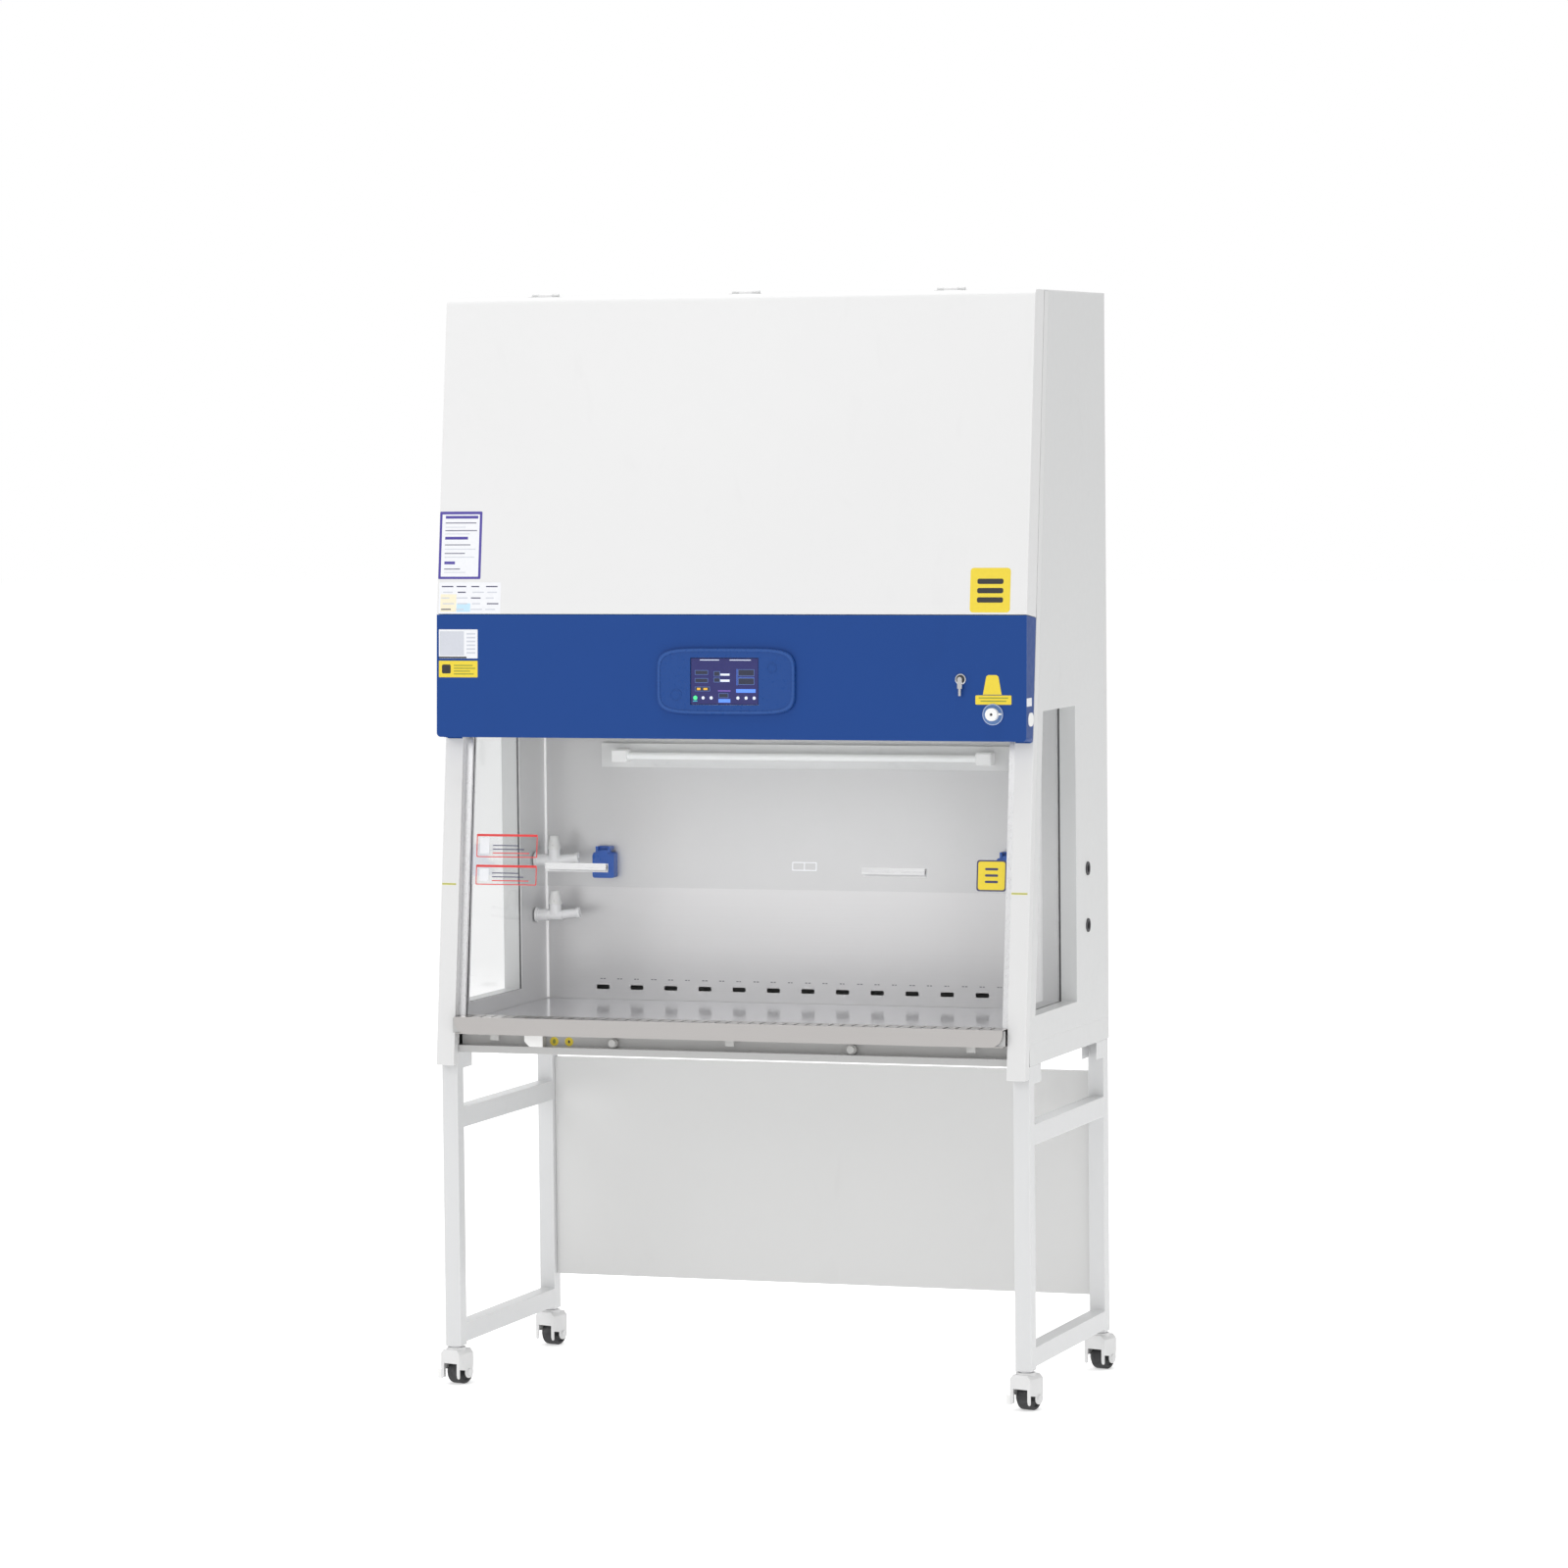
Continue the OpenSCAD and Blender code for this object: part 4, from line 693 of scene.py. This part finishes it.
# ---------------------------------------------------------------- labels on the hood and the side
label("label_plate_left", hood_face, [
    (-645, -557, 1547, 1608, 1, 0.40, LABEL_WHITE, SOFT),
    (-643, -588, 1553, 1604, 0, 0.55, LABEL_GREY, FINE),
    (-645, -582, 1547.4, 1550.6, 0, 0.55, LABEL_DARK, FINE),
    *((-582, -562, 1557 + 8 * k, 1560.5 + 8 * k, 0, 0.5, LABEL_GREY, FINE) for k in range(6)),
])

STRIP_LINES = ((1531, -568), (1525, -562), (1519, -574), (1513, -566))
label("label_strip_yellow", hood_face, [
    (-645, -557, 1507, 1542, 1, 0.40, YELLOW, SOFT),
    (-638, -618, 1515, 1534, 3, 0.46, LABEL_DARK, FINE),
    *((-611, x1, z, z + 2.2, 0, 0.46, OLIVE, FINE) for z, x1 in STRIP_LINES),
])

# The upper part narrows to its top, with the top's corners cut off
foot, top, cut = hood_face.up(1477), hood_face.up(1517), 3
neck = [(557, foot), (597, foot), (590, top - cut), (586, top), (568, top), (564, top - cut)]
tag = Piece("label_tag_yellow")
tag.raised(hood_face, neck, 0, 0.4, YELLOW)
tag.rows(hood_face, [
    (541, 618, 1456.5, 1475.5, 2, 0.45, YELLOW, SOFT),
    (548, 611, 1469, 1471.4, 0, 0.5, OLIVE, FINE),
    (552, 607, 1462.5, 1464.9, 0, 0.5, OLIVE, FINE),
])
tag.done()

side_tag = Piece("label_side_flange")
side_tag.raised(SideFace(HALF_WIDTH), rect(-278, -243, 1452.5, 1469.5), 0, 0.4, LABEL_WHITE, 0.1)
side_tag.done()

# ---------------------------------------------------------------- screen
NAVY = glowing("screen_navy", (0.022, 0.023, 0.13), 0.1)
WINDOW = glowing("screen_window", (0.025, 0.03, 0.06), 0.08)
WINDOW_LINE = glowing("screen_line", (0.10, 0.17, 0.42), 0.15)
BAR_WHITE = glowing("screen_bar", (0.72, 0.78, 0.92), 0.2)
BAR_BLUE = glowing("screen_blue", (0.10, 0.25, 0.85), 0.3)
AMBER = glowing("screen_amber", (0.75, 0.42, 0.05), 0.25)
GREEN = glowing("screen_green", (0.08, 0.70, 0.28), 0.3)
TEAL = glowing("screen_teal", (0.05, 0.45, 0.55), 0.3)
VIOLET = glowing("screen_violet", (0.35, 0.18, 0.75), 0.3)
# Height of the glass over the hood
SCREEN_TOP = 4.0
# The layout is drawn in cells, which run right and down: their size, and the one in the middle
CELL_WIDE, CELL_TALL = 150 / 676, 97.6 / 470
MIDDLE_COLUMN, MIDDLE_ROW = 770, 445
SCREEN_U = hood_face.up(SCREEN_Z)
# Width of a window's frame in cells
FRAME_LINE = 4


def screen_rect(x0, x1, y0, y1, r=0.0):
    """A rectangle of the layout, in millimetres on the hood."""
    xs = (SCREEN_X + (x - MIDDLE_COLUMN) * CELL_WIDE for x in (x0, x1))
    ys = (SCREEN_U + (MIDDLE_ROW - y) * CELL_TALL for y in (y1, y0))
    return rect(*xs, *ys, r)


LAYOUT = (
    ((525, 715, 228, 236), BAR_WHITE),
    ((820, 1030, 228, 236), BAR_WHITE),
    ((475, 605, 335, 380), WINDOW_LINE),
    ((475, 605, 415, 460), WINDOW_LINE),
    ((662, 725, 345, 395), WINDOW_LINE),
    ((662, 725, 410, 455), WINDOW_LINE),
    ((728, 820, 368, 388), BAR_WHITE),
    ((728, 820, 427, 450), BAR_WHITE),
    ((905, 1065, 325, 390), WINDOW_LINE),
    ((905, 1065, 412, 478), WINDOW_LINE),
    ((891, 896, 320, 485), BAR_BLUE),
    ((905, 1065, 403, 406), BAR_BLUE),
    ((885, 1078, 522, 558), BAR_BLUE),
    ((475, 625, 500, 545), WINDOW_LINE),
    ((705, 830, 538, 543), VIOLET),
    ((712, 808, 565, 610), WINDOW_LINE),
    ((710, 828, 622, 658), BAR_BLUE),
)
screen = Piece("screen_layout")


def on_screen(area, height, mat, base=SCREEN_TOP, r=0.0):
    screen.raised(hood_face, screen_rect(*area, r), base, SCREEN_TOP + height, mat, FINE)


on_screen((438, 1102, 216, 674), 0.12, NAVY, base=SCREEN_TOP - 0.3, r=1)
for area, mat in LAYOUT:
    on_screen(area, 0.2, mat)
for (x0, x1, y0, y1), mat in LAYOUT:
    if mat is WINDOW_LINE:
        inside = (x0 + FRAME_LINE, x1 - FRAME_LINE, y0 + FRAME_LINE, y1 - FRAME_LINE)
        on_screen(inside, 0.28, WINDOW)
for x0, x1 in ((495, 530), (560, 600)):
    on_screen((x0, x1, 512, 533), 0.34, AMBER)
on_screen((455, 500, 640, 648), 0.2, TEAL)
screen.done()

# The first key is larger and green
KEY_XS = (-67.3, -50, -32.2, 26.7, 44.8, 62.5)
keys = Piece("screen_keys")
for x in KEY_XS:
    r, mat = (4.7, GREEN) if x == KEY_XS[0] else (3.4, BAR_WHITE)
    profile = [(r, 4.6), (r, 4.85), (r - 0.4, 5.0), (r * 0.6, 5.05)]
    keys.dome(hood_face, x, hood_face.up(KEYS_Z), profile, 5.07, mat, 24)
keys.done()

# ---------------------------------------------------------------- bezel, test port and lock
BEZEL_STEPS = 72


def bulged(inset):
    """The bezel's outline, a superellipse, moved inwards."""
    points = []
    for i in range(BEZEL_STEPS):
        a = 2 * math.pi * i / BEZEL_STEPS
        x, y = (
            (size / 2 - inset) * math.copysign(abs(v) ** (2 / BEZEL_POWER), v)
            for size, v in zip(BEZEL_SIZE, (math.cos(a), math.sin(a)))
        )
        points.append((x, y + SCREEN_U))
    return points


# A raised rim round the bezel; its lighter blue is a painted highlight.
rim = Piece("bezel_rim")
rim.ring(hood_face, bulged(1.6), bulged(6.5), 5.6, 7.2, BEZEL_RIM_HIGHLIGHT)
rim.done()

port_at = (TEST_PORT[0], hood_face.up(TEST_PORT[1]))
port = Piece("port_collar")
port.ring(hood_face, disc(*port_at, 20.4), disc(*port_at, 13.3), 1.2, 2.2, PORT_CLEAR)
port.ring(hood_face, disc(*port_at, 21.8), disc(*port_at, 20.4), 0.0, 2.6, PORT_EDGE)
port.raised(hood_face, disc(*port_at, 2.9), 12.0, 12.4, BLACK_PLASTIC)
port.done()

lock_at = (LOCK[0], hood_face.up(LOCK[1]))
lock = Piece("lock_ring")
lock.ring(hood_face, disc(*lock_at, 9.2), disc(*lock_at, 5.4), 2.9, 3.5, BLACK_PLASTIC)
lock.done()

# X, height and radius of the two round marks in the bezel
BEZEL_MARKS = ((-109.6, 1473, 12.5), (102, 1530, 10.5))
marks = Piece("bezel_rings")
for x, z, r in BEZEL_MARKS:
    u = hood_face.up(z)
    marks.ring(hood_face, disc(x, u, r), disc(x, u, r - 1.0), 5.8, 6.5, BEZEL)
    marks.raised(hood_face, disc(x, u, r - 4), 5.8, 6.3, BEZEL, 0.2)
marks.done()

# ---------------------------------------------------------------- opening marks and sash labels
for side, x0, x1 in (("left", -648.5, -617), ("right", 611, 645)):
    label("mark_line_" + side, post_face, [
        (x0, x1, 1066, 1070.5, 0, 0.3, PALE_YELLOW, 0.1),
        (x0, x1, 1067.2, 1069.3, 0, 0.38, OLIVE, FINE),
    ])

# A label starts this far above the glass
ON_GLASS = 0.01
mark = Piece("label_sash_square", "sash")
mark.rows(sash_face, [(528, 592, 1070, 1134, 6, 0.35, YELLOW, 0.1)], ON_GLASS)
mark.border(sash_face, (528, 592, 1070, 1134), 3, (6, 5), ON_GLASS, 0.42, INK)
bars = [(546, 574, z, z + 5, 2, 0.42, INK, FINE) for z in (1087, 1100, 1113)]
mark.rows(sash_face, bars, ON_GLASS)
mark.done()

for name, z0, z1 in (("upper", 1124, 1173), ("lower", 1066, 1108)):
    frame_tag = Piece("label_sash_frame_" + name, "sash")
    frame_tag.border(sash_face, (-582, -444, z0, z1), 2, (2, 2), ON_GLASS, 0.3, RED)
    lines = [(z0 + 8 + 8 * k, -462 - 12 * k, INK if k else RED) for k in range(3)]
    frame_tag.rows(sash_face, [
        (-574, -553, z0 + 8, z1 - 8, 2, 0.3, LABEL_WHITE, FINE),
        (-580, -446, z1 - 5, z1 - 2, 0, 0.3, RED, FINE),
        *((-545, x1, z, z + 2, 0, 0.3, mat, FINE) for z, x1, mat in lines),
    ], ON_GLASS)
    frame_tag.done()

clear_tag = Piece("label_sash_clear", "sash")
clear_tag.border(sash_face, (126, 180, 1106, 1124), 2, (1.5, 1.5), ON_GLASS, 0.3, LABEL_WHITE)
clear_tag.rows(sash_face, [(152, 154, 1108, 1122, 0, 0.3, LABEL_WHITE, FINE)], ON_GLASS)
clear_tag.done()

# ---------------------------------------------------------------- caster guards
# A guard's front from the stem, and its leg on one side of the wheel, in X and height
GUARD_Y = -22
GUARD_LEG = [(17.2, 46.5), (17.2, 21), (18.5, 16), (20.5, 14), (23, 14), (24.9, 17), (24.9, 46.5)]
OTHER_LEG = [(-x, z) for x, z in reversed(GUARD_LEG)]
for side, x in (("left", -CASTER_X), ("right", CASTER_X)):
    for end, y in CASTER_YS.items():
        stem = Matrix.Translation(Vector((x, y, 0)) * MM) @ Matrix.Rotation(CASTER_TURN, 4, "Z")
        guard = Piece(f"caster_guard_{end}_{side}", f"caster_{end}_{side}")
        for leg in (OTHER_LEG, GUARD_LEG):
            guard.raised(Face((GUARD_Y, 0), 0, stem), leg, -1.8, 0.2, CASTER_COAT, 0.4)
        guard.done()

# ---------------------------------------------------------------- under the armrest
# Darker grey sheets on the base front under the armrest lip: on the riser they are painted shade;
# the ledge below is made darker than the panel paint as well.
dark_sheets = Piece("recess_faces")
dark_sheets.rows(riser, [(-RECESS_X, RECESS_X, 728.3, 754, 0, 0.25, DARK_GREY_COAT, SOFT)])
dark_sheets.rows(ledge, [(-RECESS_X, RECESS_X, 713.2, 727.6, 0, 0.25, DARK_GREY_COAT, 0.2)])
dark_sheets.done()

TERMINAL = [(-447.6, 728.2), (-417.8, 728.2), (-417.8, 753), (-459.2, 753), (-459.2, 739.6)]
cover_plate = Piece("terminal_face")
cover_plate.raised(ledge, TERMINAL, 0, 0.6, WHITE_PLASTIC, 0.4)
cover_plate.done()

label("lip_ends", seam_foot, [
    (x0, x1, 757, 789, 1, 1.2, DARK_GREY_COAT, 0.3) for x0, x1 in LIP_ENDS_X
])

# ---------------------------------------------------------------- chamber
holders = (-LAMP_HOLDER_X, LAMP_HOLDER_X)
label("lamp_caps", back_wall, [
    (x - 17.6, x + 17.6, 1302.8, 1330, 4, 43.0, LAMP_CAP_GLOW, 2.5) for x in holders
], base=14.5)
# Glowing strips along the back corners: a painted highlight.
label("corner_highlight_strips", back_wall, [
    (x - 2.2, x + 2.2, 782, 1452, 0, 3.2, CORNER_HIGHLIGHT, 1.4) for x in (-CORNER_HIGHLIGHT_X, CORNER_HIGHLIGHT_X)
], base=0.05)

# Pairs of dashes, numbered from the left; the right one of a pair varies in length
DASH_STEP, DASH_PAIRS = 39.5, 25
dash_xs = []
for i in range(DASH_PAIRS):
    x = (i - DASH_PAIRS // 2) * DASH_STEP
    dash_xs += [(x - 6, x - 1), (x + 1, x + 6.5 - i % 3)]
label("wall_dashes", back_wall, [
    (x0, x1, 824, 826.2, 0, 0.2, DASH_GREY, 0.04) for x0, x1 in dash_xs
], base=0.01)

DISC_Z = 738.5
discs = Piece("label_discs_yellow")
for x, rx, ry, steps, mat in ((-400, 3.4, 5.2, 40, OLIVE), (-366.5, 3.0, 4.0, 4, LABEL_DARK)):
    discs.raised(riser, disc(x, DISC_Z, 9.5), 0, 0.4, YELLOW, 0.15)
    discs.raised(riser, disc(x, DISC_Z, rx, ry, steps), 0, 0.55, mat, FINE)
discs.done()

# ---------------------------------------------------------------- stage
FLOOR_REACH, FLOOR_GLOW = 60, 0.43
FLOOR_GREYS = (0.93, 0.93, 0.93), (0.95, 0.95, 0.95)
# The world as the camera sees it, and as it lights the object
WORLD_SEEN, WORLD_LIGHT = 1.0, 0.62
PAPER_WHITE = (1, 1, 1, 1)
MIDDLE = (0, 0, 1.2)
# Place, aim, width, watts, and height where a lamp is a rectangle
LAMPS = {
    "key": ((-3.5, -7.5, 5.0), MIDDLE, 4.0, 98, None),
    "front": ((2.5, -9.0, 2.2), MIDDLE, 5.0, 42, None),
    "top": ((0.0, 0.0, 7.0), (0, 0, 0), 5.0, 210, None),
    "chamber": ((-0.2, -0.17, 1.08), (-0.3, 1.0, 1.03), 0.85, 0.34, 0.5),
    "rear": ((-3.0, 8.0, 4.0), MIDDLE, 5.0, 60, None),
}


def make_stage():
    mat, tree, shader = new_material("floor_paper")
    tree.links.new(mix_colour(tree, noise(tree, 0.6), *FLOOR_GREYS), shader.inputs["Base Color"])
    shader.inputs["Roughness"].default_value = 0.9
    shader.inputs["Specular IOR Level"].default_value = 0.1
    shader.inputs["Emission Color"].default_value = PAPER_WHITE
    shader.inputs["Emission Strength"].default_value = FLOOR_GLOW
    data = bpy.data.meshes.new("floor")
    corners = [(x, y, 0) for x, y in rect(-FLOOR_REACH, FLOOR_REACH, -FLOOR_REACH, FLOOR_REACH)]
    data.from_pydata(corners, [], [(0, 1, 2, 3)])
    data.materials.append(mat)
    floor = bpy.data.objects.new("floor", data)
    bpy.context.scene.collection.objects.link(floor)


def area_light(name, at, aim, width, watts, height):
    data = bpy.data.lights.new(name, "AREA")
    data.shape = "RECTANGLE" if height else "DISK"
    data.size = width
    if height:
        data.size_y = height
    data.energy = watts
    light = bpy.data.objects.new(name, data)
    light.location = at
    light.rotation_mode = "QUATERNION"
    light.rotation_quaternion = (Vector(aim) - Vector(at)).to_track_quat("-Z", "Y")
    bpy.context.scene.collection.objects.link(light)


def make_world():
    world = bpy.data.worlds.new("studio")
    world.use_nodes = True
    tree = world.node_tree
    tree.nodes.clear()
    out = tree.nodes.new("ShaderNodeOutputWorld")
    path = tree.nodes.new("ShaderNodeLightPath")
    mixer = tree.nodes.new("ShaderNodeMixShader")
    tree.links.new(path.outputs["Is Camera Ray"], mixer.inputs[0])
    for strength, socket in ((WORLD_LIGHT, mixer.inputs[1]), (WORLD_SEEN, mixer.inputs[2])):
        background = tree.nodes.new("ShaderNodeBackground")
        background.inputs["Color"].default_value = PAPER_WHITE
        background.inputs["Strength"].default_value = strength
        tree.links.new(background.outputs[0], socket)
    tree.links.new(mixer.outputs[0], out.inputs["Surface"])
    bpy.context.scene.world = world


make_stage()
make_world()
for lamp_name, lamp in LAMPS.items():
    area_light(lamp_name, *lamp)
bpy.context.scene.view_settings.view_transform = "Standard"
